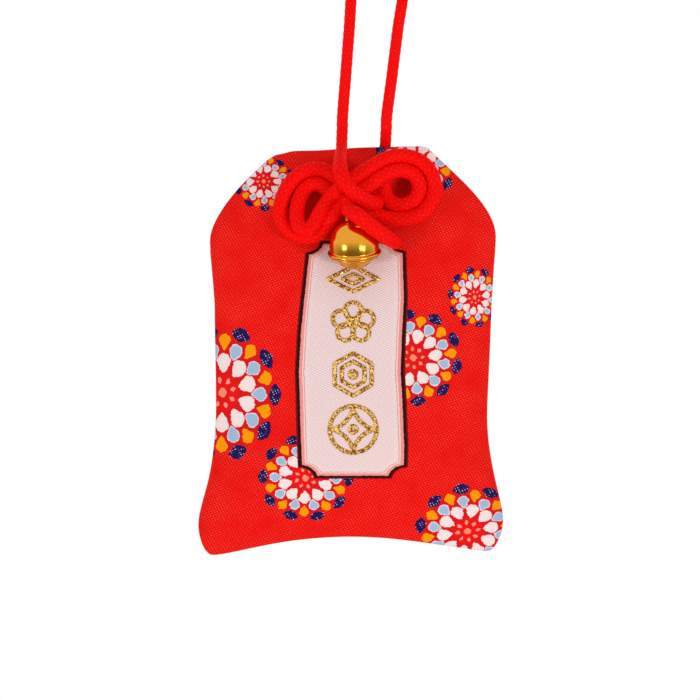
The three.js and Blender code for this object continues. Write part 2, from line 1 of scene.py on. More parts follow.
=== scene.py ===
import bmesh
import bpy
import numpy as np
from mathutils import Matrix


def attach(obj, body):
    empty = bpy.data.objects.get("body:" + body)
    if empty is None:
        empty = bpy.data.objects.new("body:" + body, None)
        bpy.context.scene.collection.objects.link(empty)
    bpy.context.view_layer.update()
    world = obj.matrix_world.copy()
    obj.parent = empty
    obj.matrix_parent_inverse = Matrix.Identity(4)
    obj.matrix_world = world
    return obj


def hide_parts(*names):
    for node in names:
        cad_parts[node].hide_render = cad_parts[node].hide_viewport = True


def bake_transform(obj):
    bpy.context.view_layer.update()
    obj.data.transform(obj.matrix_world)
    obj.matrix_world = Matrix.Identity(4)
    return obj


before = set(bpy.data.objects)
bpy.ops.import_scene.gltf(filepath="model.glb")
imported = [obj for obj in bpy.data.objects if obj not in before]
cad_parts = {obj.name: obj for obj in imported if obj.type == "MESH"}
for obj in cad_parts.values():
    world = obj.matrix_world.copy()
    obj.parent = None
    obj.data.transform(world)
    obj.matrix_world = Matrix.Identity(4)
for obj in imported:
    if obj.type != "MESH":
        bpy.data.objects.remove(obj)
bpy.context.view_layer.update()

# Inner tablet: the thin wooden slip in the middle of the pouch, in the shape of its CAD node.
# Planed cedar: dull, with a straight grain that shows as long paler and darker streaks up the slip.


def to_linear(colour):
    """Linear colour of an sRGB hex: a channel c is c / 12.92 if dark, else ((c + 0.055) / 1.055) ** 2.4."""
    c = np.array([int(colour[i:i + 2], 16) for i in (1, 3, 5)]) / 255
    return (*np.where(c < 0.04045, c / 12.92, ((c + 0.055) / 1.055) ** 2.4), 1.0)


def add(tree, kind, settings, inputs):
    """Adds one node with its settings, sets or links each of its inputs, and returns its outputs."""
    node = tree.nodes.new(kind)
    for name, value in settings.items():
        setattr(node, name, value)
    for name, value in inputs.items():
        if isinstance(value, bpy.types.NodeSocket):
            tree.links.new(value, node.inputs[name])
        else:
            node.inputs[name].default_value = value
    return node.outputs


def new_material(name, constants):
    """A material with the constants on its Principled shader's own sockets, its tree, and that shader."""
    material = bpy.data.materials.new(name)
    material.use_nodes = True
    shader = material.node_tree.nodes["Principled BSDF"]
    for socket, value in constants.items():
        shader.inputs[socket].default_value = value
    return material, material.node_tree, shader


def speckle(tree, shader, colours, grain, detail):
    """Blends two colours over a piece by noise on Object coordinates, with its grains' size in mm along x, y
    and z."""
    place = add(tree, "ShaderNodeTexCoord", {}, {})["Object"]
    scale = [1000 / size for size in grain]
    place = add(tree, "ShaderNodeMapping", {}, {"Vector": place, "Scale": scale})[0]
    noise = add(tree, "ShaderNodeTexNoise", {}, {"Vector": place, "Scale": 1.0, "Detail": detail})[0]
    mixed = add(tree, "ShaderNodeMix", {"data_type": "RGBA"},
                {0: noise, 6: to_linear(colours[0]), 7: to_linear(colours[1])})[2]
    tree.links.new(mixed, shader.inputs["Base Color"])


def dress(node, material):
    """Gives a CAD node one material in place of its plain one."""
    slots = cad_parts[node].data.materials
    slots.clear()
    slots.append(material)


wood, tree, shader = new_material("planed_cedar", {"Roughness": 0.55})
speckle(tree, shader, ("#B98C58", "#DDBB88"), (0.6667, 0.6667, 16.667), 3)
dress("inner_tablet", wood)

# Paper wrap: the plain white paper folded round the tablet, in the shape of its CAD node.
# Handmade paper: matt, with short pale fibres that lie in all directions.
paper, tree, shader = new_material("washi_paper", {"Roughness": 0.85})
speckle(tree, shader, ("#EDE9DD", "#F8F6EF"), (1.4286, 1.4286, 1.4286), 6)
dress("paper_wrap", paper)

# Stiffener card: the grey-brown card that keeps the pouch flat, in the shape of its CAD node.
# Uncoated board: matt, with the paler and darker flecks of its pulp.
card, tree, shader = new_material("uncoated_card", {"Roughness": 0.8})
speckle(tree, shader, ("#A79C8A", "#C4BAA8"), (1.1111, 1.1111, 1.1111), 5)
dress("stiffener_card", card)

# Wadding pad: the thin cotton pad that gives the front its crown, lying on the card.
# It is an ellipse crowned to just behind the front panel. Loose cotton: matt, lumpy and softly mottled.

POUCH = np.array([-5.0, 1.7, -34.8])  # the pouch's own zero, at the middle of its top edge, in mm
# Places on the pouch's right half, as mm to the right of its zero and mm up from it.
TOP_CORNER = ((12.2, 0), (14.2, -0.667))  # where the round corner of the top edge starts and ends
SHOULDER = (26.5, -17)
WAIST = (25, -48)
HEM_FLARE = (28.3, -69.3)
HEM_CORNER = (25.6, -75)
HEM_MIDDLE = (0, -72)
DIMPLE = (0.5, -17)  # where the tie draws the front in
# Sizes in mm, apart from shares and powers.
CROWN_DROP = 42.0  # from the top edge down to the middle of the crown
FRONT_CROWN = 4.5
BACK_CROWN = 2.25
BACK_FLAT = 0.66  # the share of the way to the edge over which the back is flat
CROWN_FALL = 0.7  # the power of the crown's fall to the edge
SEWN_GAP = 0.08  # from the seam's plane to each panel's edge
DIMPLE_DEPTH = 2.2
DIMPLE_RADIUS = 8.0
DIMPLE_FADE = 6  # the power of its fading to the edge
MOUTH_SIDE = 6.3  # where the right strand goes in between the panels
MOUTH_OPENING = 1.2  # how far each panel opens for it
PAD_HALF = (13.0, 14.5)  # half the pad's width and height
PAD_DROP = 43.0  # from the top edge down to the pad's middle
PAD_BACK = -2.25  # the depth of its back, on the card
PAD_RIM = 0.4  # the thickness of its edge
PAD_ROOM = 1.1  # between the pad's crown and the front panel's inside
LUMP_HEIGHT = 0.12


def smooth(start, end, value):
    """0 before start and 1 after end, and t * t * (3 - 2 t) in between."""
    t = np.clip((value - start) / (end - start), 0, 1)
    return t * t * (3 - 2 * t)


def bezier(points, count):
    """Points on a cubic Bezier, each the sum of its four control points by the Bernstein weights."""
    t = np.linspace(0, 1, count)[:, None]
    a, b, c, d = np.array(points, float)
    return a * (1 - t) ** 3 + 3 * b * t * (1 - t) ** 2 + 3 * c * t * t * (1 - t) + d * t ** 3


# The outline is a chain of curves, upright at the shoulder, the waist and the flare and level at the hem.
top_half = bezier([(0, 0), (4.07, 0), (8.13, 0), TOP_CORNER[0]], 60)
top_corner = bezier([TOP_CORNER[0], (13.09, 0), (13.76, -0.22), TOP_CORNER[1]], 41)
shoulder = bezier([TOP_CORNER[1], (19.49, -5.78), (SHOULDER[0], -11.56), SHOULDER], 120)
side = bezier([SHOULDER, (SHOULDER[0], -21.03), (WAIST[0], -30.02), WAIST], 120)
flare = bezier([WAIST, (WAIST[0], -58.01), (HEM_FLARE[0], -65.89), HEM_FLARE], 90)
hem_corner = bezier([HEM_FLARE, (HEM_FLARE[0], -72.15), (26.95, HEM_CORNER[1]), HEM_CORNER], 61)
hem_half = bezier([HEM_CORNER, (22.02, HEM_CORNER[1]), (12.03, HEM_MIDDLE[1]), HEM_MIDDLE], 120)
right_half = np.vstack([top_half, top_corner, shoulder, side, flare, hem_corner, hem_half])
outline = np.vstack([right_half, right_half[::-1] * (-1, 1)])
outline_angle = np.arctan2(outline[:, 1] + CROWN_DROP, outline[:, 0])
outline_reach = np.hypot(outline[:, 0], outline[:, 1] + CROWN_DROP)


def share_of(x, z):
    """A point's distance from the crown's middle over the outline's distance in its direction, 0 to 1."""
    angle = np.arctan2(z + CROWN_DROP, x)
    reach = np.interp(angle, outline_angle, outline_reach, period=2 * np.pi)
    return np.minimum(np.hypot(x, z + CROWN_DROP) / reach, 1)


def mouth(x, z):
    """How far a panel opens for the right strand: in full at the top edge within 4 mm of the strand, and by
    smooth steps down to nothing 8 mm lower and 14 mm aside."""
    return MOUTH_OPENING * smooth(-8, 0, z) * (1 - smooth(4, 14, abs(x - MOUTH_SIDE)))


def front_inside(x, z):
    """Depth of the front panel's inside: a crown (1 - s s) ** 0.7 over the share s, less a dimple by a bell
    curve under the knot, and open a little where the right strand goes in."""
    share = share_of(x, z)
    dimple = DIMPLE_DEPTH * np.exp(-((x - DIMPLE[0]) ** 2 + (z - DIMPLE[1]) ** 2) / DIMPLE_RADIUS ** 2)
    crown = FRONT_CROWN * (1 - share ** 2) ** CROWN_FALL
    return dimple * (1 - share ** DIMPLE_FADE) - SEWN_GAP - mouth(x, z) * share ** 2 - crown


def back_inside(x, z):
    """Depth of the back panel's inside: flat to a share of 0.66, then a fall like the crown's."""
    past = np.clip((share_of(x, z) - BACK_FLAT) / (1 - BACK_FLAT), 0, 1)
    return SEWN_GAP + mouth(x, z) * past ** 2 + BACK_CROWN * (1 - past ** 2) ** CROWN_FALL


def two_sided(x, z, front, back):
    """Points in mm of the frame of a closed sheet: rings out over its front, then back in over its back."""
    both = [np.vstack([x, x[::-1]]), np.vstack([front, back[::-1]]), np.vstack([z, z[::-1]])]
    return np.stack(both, -1) + POUCH


def grid_faces(rows, columns, wrap):
    """Corner numbers of the quads of a grid of points, closed round its columns where it wraps."""
    number = np.arange(rows * columns).reshape(rows, columns)
    if wrap:
        number = np.hstack([number, number[:, :1]])
    corners = (number[:-1, :-1], number[1:, :-1], number[1:, 1:], number[:-1, 1:])
    return np.stack(corners, -1).reshape(-1, 4)


def put_mesh(name, points, faces, material):
    """A closed smooth mesh from points in mm of the frame, its doubles merged and its faces turned out."""
    mesh = bpy.data.meshes.new(name)
    mesh.from_pydata((np.reshape(points, (-1, 3)) / 1000).tolist(), [], [list(map(int, f)) for f in faces])
    shape = bmesh.new()
    shape.from_mesh(mesh)
    bmesh.ops.remove_doubles(shape, verts=shape.verts, dist=1e-7)
    bmesh.ops.recalc_face_normals(shape, faces=shape.faces)
    shape.to_mesh(mesh)
    shape.free()
    mesh.shade_smooth()
    mesh.materials.append(material)
    piece = bpy.data.objects.new(name, mesh)
    bpy.context.scene.collection.objects.link(piece)
    return piece


cotton, tree, shader = new_material("cotton_wadding", {"Roughness": 0.95})
speckle(tree, shader, ("#E2DDD2", "#F6F3EC"), (2.5, 2.5, 2.5), 6)
rings = np.sin(np.linspace(0, np.pi / 2, 40))
turns = np.linspace(0, 2 * np.pi, 96, endpoint=False)
ring, turn = np.meshgrid(rings, turns, indexing="ij")
x = PAD_HALF[0] * ring * np.cos(turn)
z = PAD_HALF[1] * ring * np.sin(turn) - PAD_DROP
lumps = LUMP_HEIGHT * np.sin(1.7 * x + 0.8 * z) * np.sin(1.3 * z - 0.6 * x)
edge = PAD_BACK - PAD_RIM
front = edge + (front_inside(x, z) + PAD_ROOM + lumps - edge) * (1 - ring ** 2) ** CROWN_FALL
points = two_sided(x, z, front, np.full_like(x, PAD_BACK))
wadding = put_mesh("cotton_pad", points, grid_faces(*points.shape[:2], True), cotton)
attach(wadding, "pouch")
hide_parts("wadding_pad")

# Linings: a stiff woven lining glued behind each brocade panel, short of the seam.
# Each is a closed sheet that follows its panel's inside. Sized cotton: matt and pale, with fine specks.
LINING_REACH = 0.78  # the share of the way from the crown's middle to the edge
LINING_GAP = 0.3  # from the panel's inside, in mm
LINING_THICKNESS = 0.4
linen, tree, shader = new_material("stiff_cotton_lining", {"Roughness": 0.9})
speckle(tree, shader, ("#DCD6C8", "#EFEBE1"), (0.4, 1.6667, 0.4), 4)
rings = np.linspace(0, LINING_REACH, 50)
turns = np.linspace(-np.pi, np.pi, 160, endpoint=False)
ring, turn = np.meshgrid(rings, turns, indexing="ij")
reach = np.interp(turn, outline_angle, outline_reach, period=2 * np.pi)
x = ring * reach * np.cos(turn)
z = ring * reach * np.sin(turn) - CROWN_DROP
for name, node, cloth, inwards in (("lining_of_front", "front_lining", front_inside(x, z), 1),
                                   ("lining_of_back", "back_lining", back_inside(x, z), -1)):
    near = cloth + inwards * LINING_GAP
    points = two_sided(x, z, near, near + inwards * LINING_THICKNESS)
    lining = put_mesh(name, points, grid_faces(*points.shape[:2], True), linen)
    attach(lining, "pouch")
    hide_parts(node)

# Brocade panels: the front and back of the pouch, drawn in under the knot and sewn together at the edge.
# Each is a sheet on a grid that follows the outline, crowned over the wadding, its figures a little raised.
# Satin brocade: a red ground full of small floats with painted highlights on them, and dyed figures whose
# edges go in steps.

# Sizes of the panels in mm, apart from powers.
CLOTH_RISE = 0.8  # from a panel's inside curve to its outside
CLOTH_THICKNESS = 0.5
CLOTH_ROUND = 14  # the power by which it rounds off at the edge
SEAM_ROOM = 0.02  # the least distance of a panel's inner face from the seam's plane
FIGURE_RISE = 0.1  # how far the label stands out; a bloom stands out by 0.8 of it
KNOT = (0.5, -8)  # where the soft puffs run out from, right of the pouch's zero and up from it
PLEAT = (9.6, -7.6)  # the pleat of plain ground that shows through the bow's right ear
PLEAT_DEPTH = 2.0
PLEAT_RADIUS = 1.789
PLAIN_RADIUS = 3.4  # round the pleat, where no bloom is woven
# Sizes of the weave in mm.
STEP_SIZE = 0.5263  # the steps in the edges of the woven figures
FLOAT_SPACING = (0.714, 0.616)  # the satin floats' rows, across and along
PATCH_SIZE = 4.545  # patches where more of the floats catch the light
STITCH_SIZE = 0.909  # tufts of pale stitches on the dark petals
TWILL_SPACING = (0.9666, 0.4488)  # the label's twill, to the right and up
DASH_SPACING = (0.698, -2.094)  # the dashes that break it
WEAVE_RISE = 0.06
GROUND_RED = "#E60302"
# the colour of the painted highlight on the satin floats
FLOAT_HIGHLIGHT_RED = "#FF503E"
STITCH_WHITE = "#E8E0EC"
TWILL_SHADE = "#DEC6CF"
# The label: its middle below the top edge, its half width and half height, and its corners' notch, in mm.
LABEL_MIDDLE = -39.15
LABEL_HALF = (10.2, 21.95)
LABEL_NOTCH = 2.9
LABEL_SQUEEZE = 1.4  # its bands are narrower by this along the top and the bottom
LABEL_SPAN = 4  # the depth in from the edge that holds all bands
LABEL_FIELD = 1.72  # the depth at which the twill starts
# Depth in from the label's edge in mm and colour of each band. The first band, dark red at the very edge, is
# a painted soft shadow round the label; the others are woven.
LABEL_BANDS = ((0.0, "#7A0E12"), (0.24, "#34080E"), (0.8, "#E8948C"), (1.4, "#F9D0C8"), (1.62, "#E4A29C"),
               (1.8, "#F9EAE6"), (2.5, "#F8E6E2"))
# Each bloom's middle, half width and half height to the outer petals in mm, and its turn in degrees.
BLOOMS = ((-23.70, -45.3, 9.7, 11.3, 16), (-8.45, -61.0, 7.95, 7.25, 16), (11.22, -38.9, 7.96, 7.96, 7),
          (22.4, -27.9, 4.5, 5.0, 10), (21.67, -71.05, 8.9, 8.1, 9), (-16.1, -5.9, 5.0, 5.0, 0),
          (11.3, -3.7, 7.0, 7.1, 26))
BACK_BLOOMS = ((23.7, -45.4, 9.7, 11.3, 20), (5.5, -62.0, 7.6, 7.3, 8), (-11.0, -39.0, 8.0, 8.0, 5),
               (-22.6, -27.8, 5.0, 5.0, 10), (-20.5, -66.5, 8.4, 8.2, 4), (14.0, -10.0, 5.0, 5.0, 0),
               (-5.0, -14.5, 7.0, 7.0, 25), (8.8, -28.0, 5.4, 5.4, 14))
BLOOM_EDGE = 1.16  # the share of a bloom's radius where its figure has ended
HEART_REACH = 1.1  # a petal's heart reaches to this less HEART_RIM mm over the bloom's radius
HEART_RIM = 3.0
# Each ring's count of petals, turn, middle, half length inwards and outwards, half width, roundness, taper
# inwards, colour, and colour of its petals' hearts. The turn is a share of the step from petal to petal, and
# lengths are shares of the bloom's radius.
PETALS = ((1, 0.0, 0.0, 0.93, 0.93, 0.93, 2.0, 0.0, "#D8141A", None),
          (10, 0.5, 1.0, 0.11, 0.125, 0.185, 1.5, 0.0, "#201250", None),
          (10, 0.0, 0.88, 0.18, 0.10, 0.12, 1.3, 0.2, "#F99600", None),
          (10, 0.5, 0.725, 0.17, 0.12, 0.125, 1.5, 0.3, "#E4D2DC", "#9DB9D2"),
          (10, 0.0, 0.515, 0.19, 0.135, 0.134, 1.6, 0.3, "#FBD4D2", "#F2DDDA"),
          (1, 0.0, 0.0, 0.31, 0.31, 0.31, 2.0, 0.0, "#E8120C", None),
          (8, 0.0, 0.215, 0.06, 0.05, 0.04, 1.3, 0.0, "#F5907E", None),
          (1, 0.0, 0.0, 0.08, 0.08, 0.08, 1.5, 0.0, "#F58A6C", None))


def even(line, count):
    """Points spaced evenly along a line, found by the distance walked along it."""
    walked = np.r_[0, np.cumsum(np.hypot(*np.diff(line, axis=0).T))]
    places = np.linspace(0, walked[-1], count)
    return np.stack([np.interp(places, walked, line[:, 0]), np.interp(places, walked, line[:, 1])], -1)


# The grid is a Coons patch between the outline's four sides: the two ways across added, less the corners.
right_side = even(np.vstack([top_corner[20:], shoulder[1:], side[1:], flare[1:], hem_corner[1:31]]), 261)
top_side = even(np.vstack([top_half, top_corner[1:21]]), 96)
hem_side = even(np.vstack([hem_half[::-1], hem_corner[:29:-1]]), 96)
top_side = np.vstack([top_side[:0:-1] * (-1, 1), top_side])
hem_side = np.vstack([hem_side[:0:-1] * (-1, 1), hem_side])
down = np.linspace(0, 1, 261)[:, None, None]
along = np.linspace(0, 1, 191)[None, :, None]
across = top_side * (1 - down) + hem_side * down
upright = right_side[:, None] * (-1, 1) * (1 - along) + right_side[:, None] * along
corners = ((top_side[0] * (1 - along) + top_side[-1] * along) * (1 - down)
           + (hem_side[0] * (1 - along) + hem_side[-1] * along) * down)
x, z = np.moveaxis(across + upright - corners, -1, 0)
share = share_of(x, z)


def lean(x, z):
    """Where a point of the even panel lies on the hanging pouch: it shifts aside and upwards by sums of
    terms in mm, each of which fades by smooth steps or a bell curve away from its own place."""
    top = smooth(-46, -8, z)
    slack_edge = np.exp(-((x + 8) / 6.5) ** 2) * smooth(-9, 0, z)
    full_shoulder = smooth(-8, -16, x) * smooth(-14, -4, z)
    worn_corner = np.exp(-((x + 13.1) / 1.6) ** 2) * smooth(-8, -0.5, z)
    right_bow = smooth(0, 26, x) * np.exp(-((z + 38) / 12) ** 2)
    left_bow = smooth(0, -26, x) * (np.exp(-((z + 25) / 7) ** 2) + np.exp(-((z + 61) / 6) ** 2))
    right_tip = smooth(10, 28, x) * smooth(-64, -75, z)
    left_tip = smooth(-10, -28, x) * smooth(-64, -75, z)
    aside = 0.35 * top - 0.3 * right_tip + 0.5 * right_bow + 0.3 * left_bow - 0.45 * full_shoulder
    upwards = 0.02 * x * top + 0.4 * right_tip - 0.35 * slack_edge - 0.4 * left_tip - 0.6 * worn_corner
    return x + aside, z + upwards


def bloom_places(x, z, blooms):
    """Each point's place in its nearest bloom's own axes over its radius, held at the bloom's edge outside;
    then 1 outside it and 0 inside, and one mm over the bloom's radius."""
    across, drop, wide, tall, turn = np.array(blooms).T[:, :, None, None]
    u = (x - across) / wide
    v = (z - drop) / tall
    nearest = np.argmin(np.hypot(u, v), axis=0)[None]
    u, v, turn, size = (np.take_along_axis(np.broadcast_to(a, u.shape), nearest, 0)[0]
                        for a in (u, v, np.radians(turn), 2 / (wide + tall)))
    far = np.hypot(u, v)
    held = np.minimum(1, BLOOM_EDGE / np.maximum(far, 1e-6))
    turned_u = (u * np.cos(turn) + v * np.sin(turn)) * held
    turned_v = (v * np.cos(turn) - u * np.sin(turn)) * held
    return np.stack([turned_u, turned_v, (far > BLOOM_EDGE).astype(float), size], -1)


def label_places(x, z):
    """Each point's place in the label's own axes in mm, straightened from its slightly bowed sides."""
    heights = (-61, -54.8, -45.9, -41.5, -34, -28, -19)
    left = np.interp(z, heights, (-9.8, -10.0, -10.2, -10.37, -10.05, -9.6, -8.7))
    right = np.interp(z, heights, (10.45, 10.55, 10.1, 9.75, 9.95, 10.25, 9.9))
    return np.stack([(2 * x - left - right) / (right - left) * LABEL_HALF[0], z - LABEL_MIDDLE, 0 * x], -1)


def waves_per_mm(spacing):
    """Radians per mm of waves with these spacings in mm across and up."""
    return (2 * np.pi / spacing[0], 2 * np.pi / spacing[1], 0)


brocade, tree, shader = new_material("satin_brocade", {"Roughness": 0.6, "Specular IOR Level": 0.05})
place = add(tree, "ShaderNodeAttribute", {"attribute_name": "cloth_mm"}, {})["Vector"]
step = add(tree, "ShaderNodeTexNoise", {},
           {"Vector": place, "Scale": 1 / STEP_SIZE, "Detail": 1.0})["Color"]
step = add(tree, "ShaderNodeVectorMath", {"operation": "MULTIPLY_ADD"},
           {0: step, 1: (0.5, 0.5, 0), 2: (-0.25, -0.25, 0)})[0]
# The ground: uneven rows of satin floats that fall a little to the right, as small dots of painted highlight
# on red.
rows = add(tree, "ShaderNodeVectorMath", {"operation": "MULTIPLY_ADD"},
           {0: step, 1: (0.45, 0.45, 0), 2: place})[0]
rows = add(tree, "ShaderNodeMapping", {},
           {"Vector": rows, "Rotation": (0, 0, 0.35), "Scale": waves_per_mm(FLOAT_SPACING)})[0]
waves = add(tree, "ShaderNodeVectorMath", {"operation": "SINE"}, {0: rows})[0]
waves = add(tree, "ShaderNodeSeparateXYZ", {}, {0: waves})
dots = add(tree, "ShaderNodeMath", {"operation": "MULTIPLY"}, {0: waves[0], 1: waves[1]})[0]
dots = add(tree, "ShaderNodeMath", {"operation": "MAXIMUM"}, {0: dots, 1: 0.0})[0]
patchy = add(tree, "ShaderNodeTexNoise", {}, {"Vector": place, "Scale": 1 / PATCH_SIZE, "Detail": 3.0})[0]
patchy = add(tree, "ShaderNodeMapRange", {}, {0: patchy, 1: 0.3, 2: 0.7, 3: 0.3, 4: 0.95})[0]
bright = add(tree, "ShaderNodeMath", {"operation": "MULTIPLY"}, {0: dots, 1: patchy})[0]
colour = add(tree, "ShaderNodeMix", {"data_type": "RGBA"},
             {0: bright, 6: to_linear(GROUND_RED), 7: to_linear(FLOAT_HIGHLIGHT_RED)})[2]
sparse = add(tree, "ShaderNodeTexNoise", {}, {"Vector": place, "Scale": 1 / STITCH_SIZE, "Detail": 0.0})[0]
sparse = add(tree, "ShaderNodeMapRange", {}, {0: sparse, 1: 0.5, 2: 0.64})[0]
pale_ends = add(tree, "ShaderNodeMath", {"operation": "MULTIPLY_ADD"}, {0: dots, 1: 3.0, 2: -1.6})[0]
pale_ends = add(tree, "ShaderNodeMath", {"operation": "MULTIPLY", "use_clamp": True},
                {0: pale_ends, 1: sparse})[0]
# The blooms: rings of petals, each petal |along| ** p + |across| ** p < 1 in its own sector of the ring,
# with its across stretched towards the middle by the taper. Outside a bloom the radius is past all petals.
bloom = add(tree, "ShaderNodeAttribute", {"attribute_name": "bloom"}, {})
size = bloom["Alpha"]
parts = add(tree, "ShaderNodeSeparateXYZ", {}, {0: bloom["Color"]})
woven = add(tree, "ShaderNodeVectorMath", {"operation": "SCALE"}, {0: step, "Scale": size})[0]
woven = add(tree, "ShaderNodeVectorMath", {"operation": "ADD"}, {0: woven, 1: bloom["Color"]})[0]
woven = add(tree, "ShaderNodeVectorMath", {"operation": "MULTIPLY"}, {0: woven, 1: (1, 1, 0)})[0]
axes = add(tree, "ShaderNodeSeparateXYZ", {}, {0: woven})
radius = add(tree, "ShaderNodeVectorMath", {"operation": "LENGTH"}, {0: woven})["Value"]
radius = add(tree, "ShaderNodeMath", {"operation": "MULTIPLY_ADD"}, {0: parts[2], 1: 9.0, 2: radius})[0]
angle = add(tree, "ShaderNodeMath", {"operation": "ARCTAN2"}, {0: axes[1], 1: axes[0]})[0]
raised = 0.0
for count, turn, middle, inwards, outwards, half_width, roundness, taper, dye, heart in PETALS:
    sector = add(tree, "ShaderNodeMath", {"operation": "MULTIPLY_ADD"},
                 {0: angle, 1: count / (2 * np.pi), 2: turn + 0.5})[0]
    sector = add(tree, "ShaderNodeMath", {"operation": "FRACT"}, {0: sector})[0]
    sector = add(tree, "ShaderNodeMath", {"operation": "MULTIPLY_ADD"},
                 {0: sector, 1: 2 * np.pi / count, 2: -np.pi / count})[0]
    along = add(tree, "ShaderNodeMath", {"operation": "COSINE"}, {0: sector})[0]
    along = add(tree, "ShaderNodeMath", {"operation": "MULTIPLY_ADD"}, {0: along, 1: radius, 2: -middle})[0]
    inner = add(tree, "ShaderNodeMath", {"operation": "MULTIPLY"}, {0: along, 1: -1 / inwards})[0]
    outer = add(tree, "ShaderNodeMath", {"operation": "MULTIPLY"}, {0: along, 1: 1 / outwards})[0]
    along = add(tree, "ShaderNodeMath", {"operation": "MAXIMUM"}, {0: outer, 1: inner})[0]
    along = add(tree, "ShaderNodeMath", {"operation": "POWER"}, {0: along, 1: roundness})[0]
    slim = add(tree, "ShaderNodeMath", {"operation": "MULTIPLY_ADD"},
               {0: inner, 1: taper / half_width, 2: 1 / half_width})[0]
    across = add(tree, "ShaderNodeMath", {"operation": "SINE"}, {0: sector})[0]
    across = add(tree, "ShaderNodeMath", {"operation": "MULTIPLY"}, {0: across, 1: radius})[0]
    across = add(tree, "ShaderNodeMath", {"operation": "MULTIPLY"}, {0: across, 1: slim})[0]
    across = add(tree, "ShaderNodeMath", {"operation": "ABSOLUTE"}, {0: across})[0]
    across = add(tree, "ShaderNodeMath", {"operation": "POWER"}, {0: across, 1: roundness})[0]
    total = add(tree, "ShaderNodeMath", {"operation": "ADD"}, {0: along, 1: across})[0]
    petal = add(tree, "ShaderNodeMath", {"operation": "LESS_THAN"}, {0: total, 1: 1.0})[0]
    colour = add(tree, "ShaderNodeMix", {"data_type": "RGBA"}, {0: petal, 6: colour, 7: to_linear(dye)})[2]
    if heart:
        rim = add(tree, "ShaderNodeMath", {"operation": "MULTIPLY_ADD"},
                  {0: size, 1: -HEART_RIM, 2: HEART_REACH})[0]
        core = add(tree, "ShaderNodeMath", {"operation": "LESS_THAN"}, {0: total, 1: rim})[0]
        colour = add(tree, "ShaderNodeMix", {"data_type": "RGBA"},
                     {0: core, 6: colour, 7: to_linear(heart)})[2]
    if middle == 1:
        stitch = add(tree, "ShaderNodeMath", {"operation": "MULTIPLY"}, {0: petal, 1: pale_ends})[0]
        colour = add(tree, "ShaderNodeMix", {"data_type": "RGBA"},
                     {0: stitch, 6: colour, 7: to_linear(STITCH_WHITE)})[2]
    if count > 1:
        raised = add(tree, "ShaderNodeMath", {"operation": "MAXIMUM"}, {0: petal, 1: raised})[0]
# The label: bands by depth in from an edge with round notched corners, and a pale field of twill in dashes.
label = add(tree, "ShaderNodeAttribute", {"attribute_name": "label_mm"}, {})["Vector"]
label = add(tree, "ShaderNodeVectorMath", {"operation": "MULTIPLY_ADD"},
            {0: step, 1: (0.5, 0.5, 0), 2: label})[0]
label = add(tree, "ShaderNodeVectorMath", {"operation": "ABSOLUTE"}, {0: label})[0]
label = add(tree, "ShaderNodeVectorMath", {"operation": "SUBTRACT"}, {0: label, 1: (*LABEL_HALF, 0)})[0]
label = add(tree, "ShaderNodeVectorMath", {"operation": "MULTIPLY"},
            {0: label, 1: (1, LABEL_SQUEEZE, 0)})[0]
notch = add(tree, "ShaderNodeVectorMath", {"operation": "LENGTH"}, {0: label})["Value"]
notch = add(tree, "ShaderNodeMath", {"operation": "SUBTRACT"}, {0: LABEL_NOTCH, 1: notch})[0]
parts = add(tree, "ShaderNodeSeparateXYZ", {}, {0: label})
depth = add(tree, "ShaderNodeMath", {"operation": "MAXIMUM"}, {0: parts[0], 1: parts[1]})[0]
depth = add(tree, "ShaderNodeMath", {"operation": "MAXIMUM"}, {0: depth, 1: notch})[0]
depth = add(tree, "ShaderNodeMath", {"operation": "MULTIPLY"}, {0: depth, 1: -1 / LABEL_SPAN})[0]
bands = add(tree, "ShaderNodeValToRGB", {}, {0: depth})
ramp = bands[0].node.color_ramp
ramp.interpolation = "CONSTANT"
ramp.elements.remove(ramp.elements[1])
for inset, dye in LABEL_BANDS:
    element = ramp.elements[0] if inset == 0 else ramp.elements.new(inset / LABEL_SPAN)
    element.color = to_linear(dye)
twill = add(tree, "ShaderNodeVectorMath", {"operation": "DOT_PRODUCT"},
            {0: place, 1: waves_per_mm(TWILL_SPACING)})["Value"]
twill = add(tree, "ShaderNodeMath", {"operation": "SINE"}, {0: twill})[0]
dash = add(tree, "ShaderNodeVectorMath", {"operation": "DOT_PRODUCT"},
           {0: place, 1: waves_per_mm(DASH_SPACING)})["Value"]
dash = add(tree, "ShaderNodeMath", {"operation": "SINE"}, {0: dash})[0]
dash = add(tree, "ShaderNodeMath", {"operation": "MULTIPLY_ADD"}, {0: dash, 1: 0.35, 2: 0.65})[0]
twill = add(tree, "ShaderNodeMath", {"operation": "MULTIPLY"}, {0: twill, 1: dash})[0]
field = add(tree, "ShaderNodeMath", {"operation": "GREATER_THAN"},
            {0: depth, 1: LABEL_FIELD / LABEL_SPAN})[0]
shade = add(tree, "ShaderNodeMath", {"operation": "MULTIPLY_ADD"}, {0: twill, 1: 0.5, 2: 0.5})[0]
shade = add(tree, "ShaderNodeMath", {"operation": "MULTIPLY"}, {0: shade, 1: field})[0]
bands = add(tree, "ShaderNodeMix", {"data_type": "RGBA", "blend_type": "MULTIPLY"},
            {0: shade, 6: bands[0], 7: to_linear(TWILL_SHADE)})[2]
inside = add(tree, "ShaderNodeMath", {"operation": "GREATER_THAN"}, {0: depth, 1: 0.0})[0]
colour = add(tree, "ShaderNodeMix", {"data_type": "RGBA"}, {0: inside, 6: colour, 7: bands})[2]
tree.links.new(colour, shader.inputs["Base Color"])
# Figures and floats stand out of the ground by a few hundredths of a millimetre.
height = add(tree, "ShaderNodeMath", {"operation": "MAXIMUM"}, {0: raised, 1: inside})[0]
height = add(tree, "ShaderNodeMath", {"operation": "MULTIPLY_ADD"}, {0: dots, 1: 0.8, 2: height})[0]
bump = add(tree, "ShaderNodeBump", {},
           {"Strength": 0.6, "Distance": WEAVE_RISE / 1000, "Height": height})[0]
tree.links.new(bump, shader.inputs["Normal"])


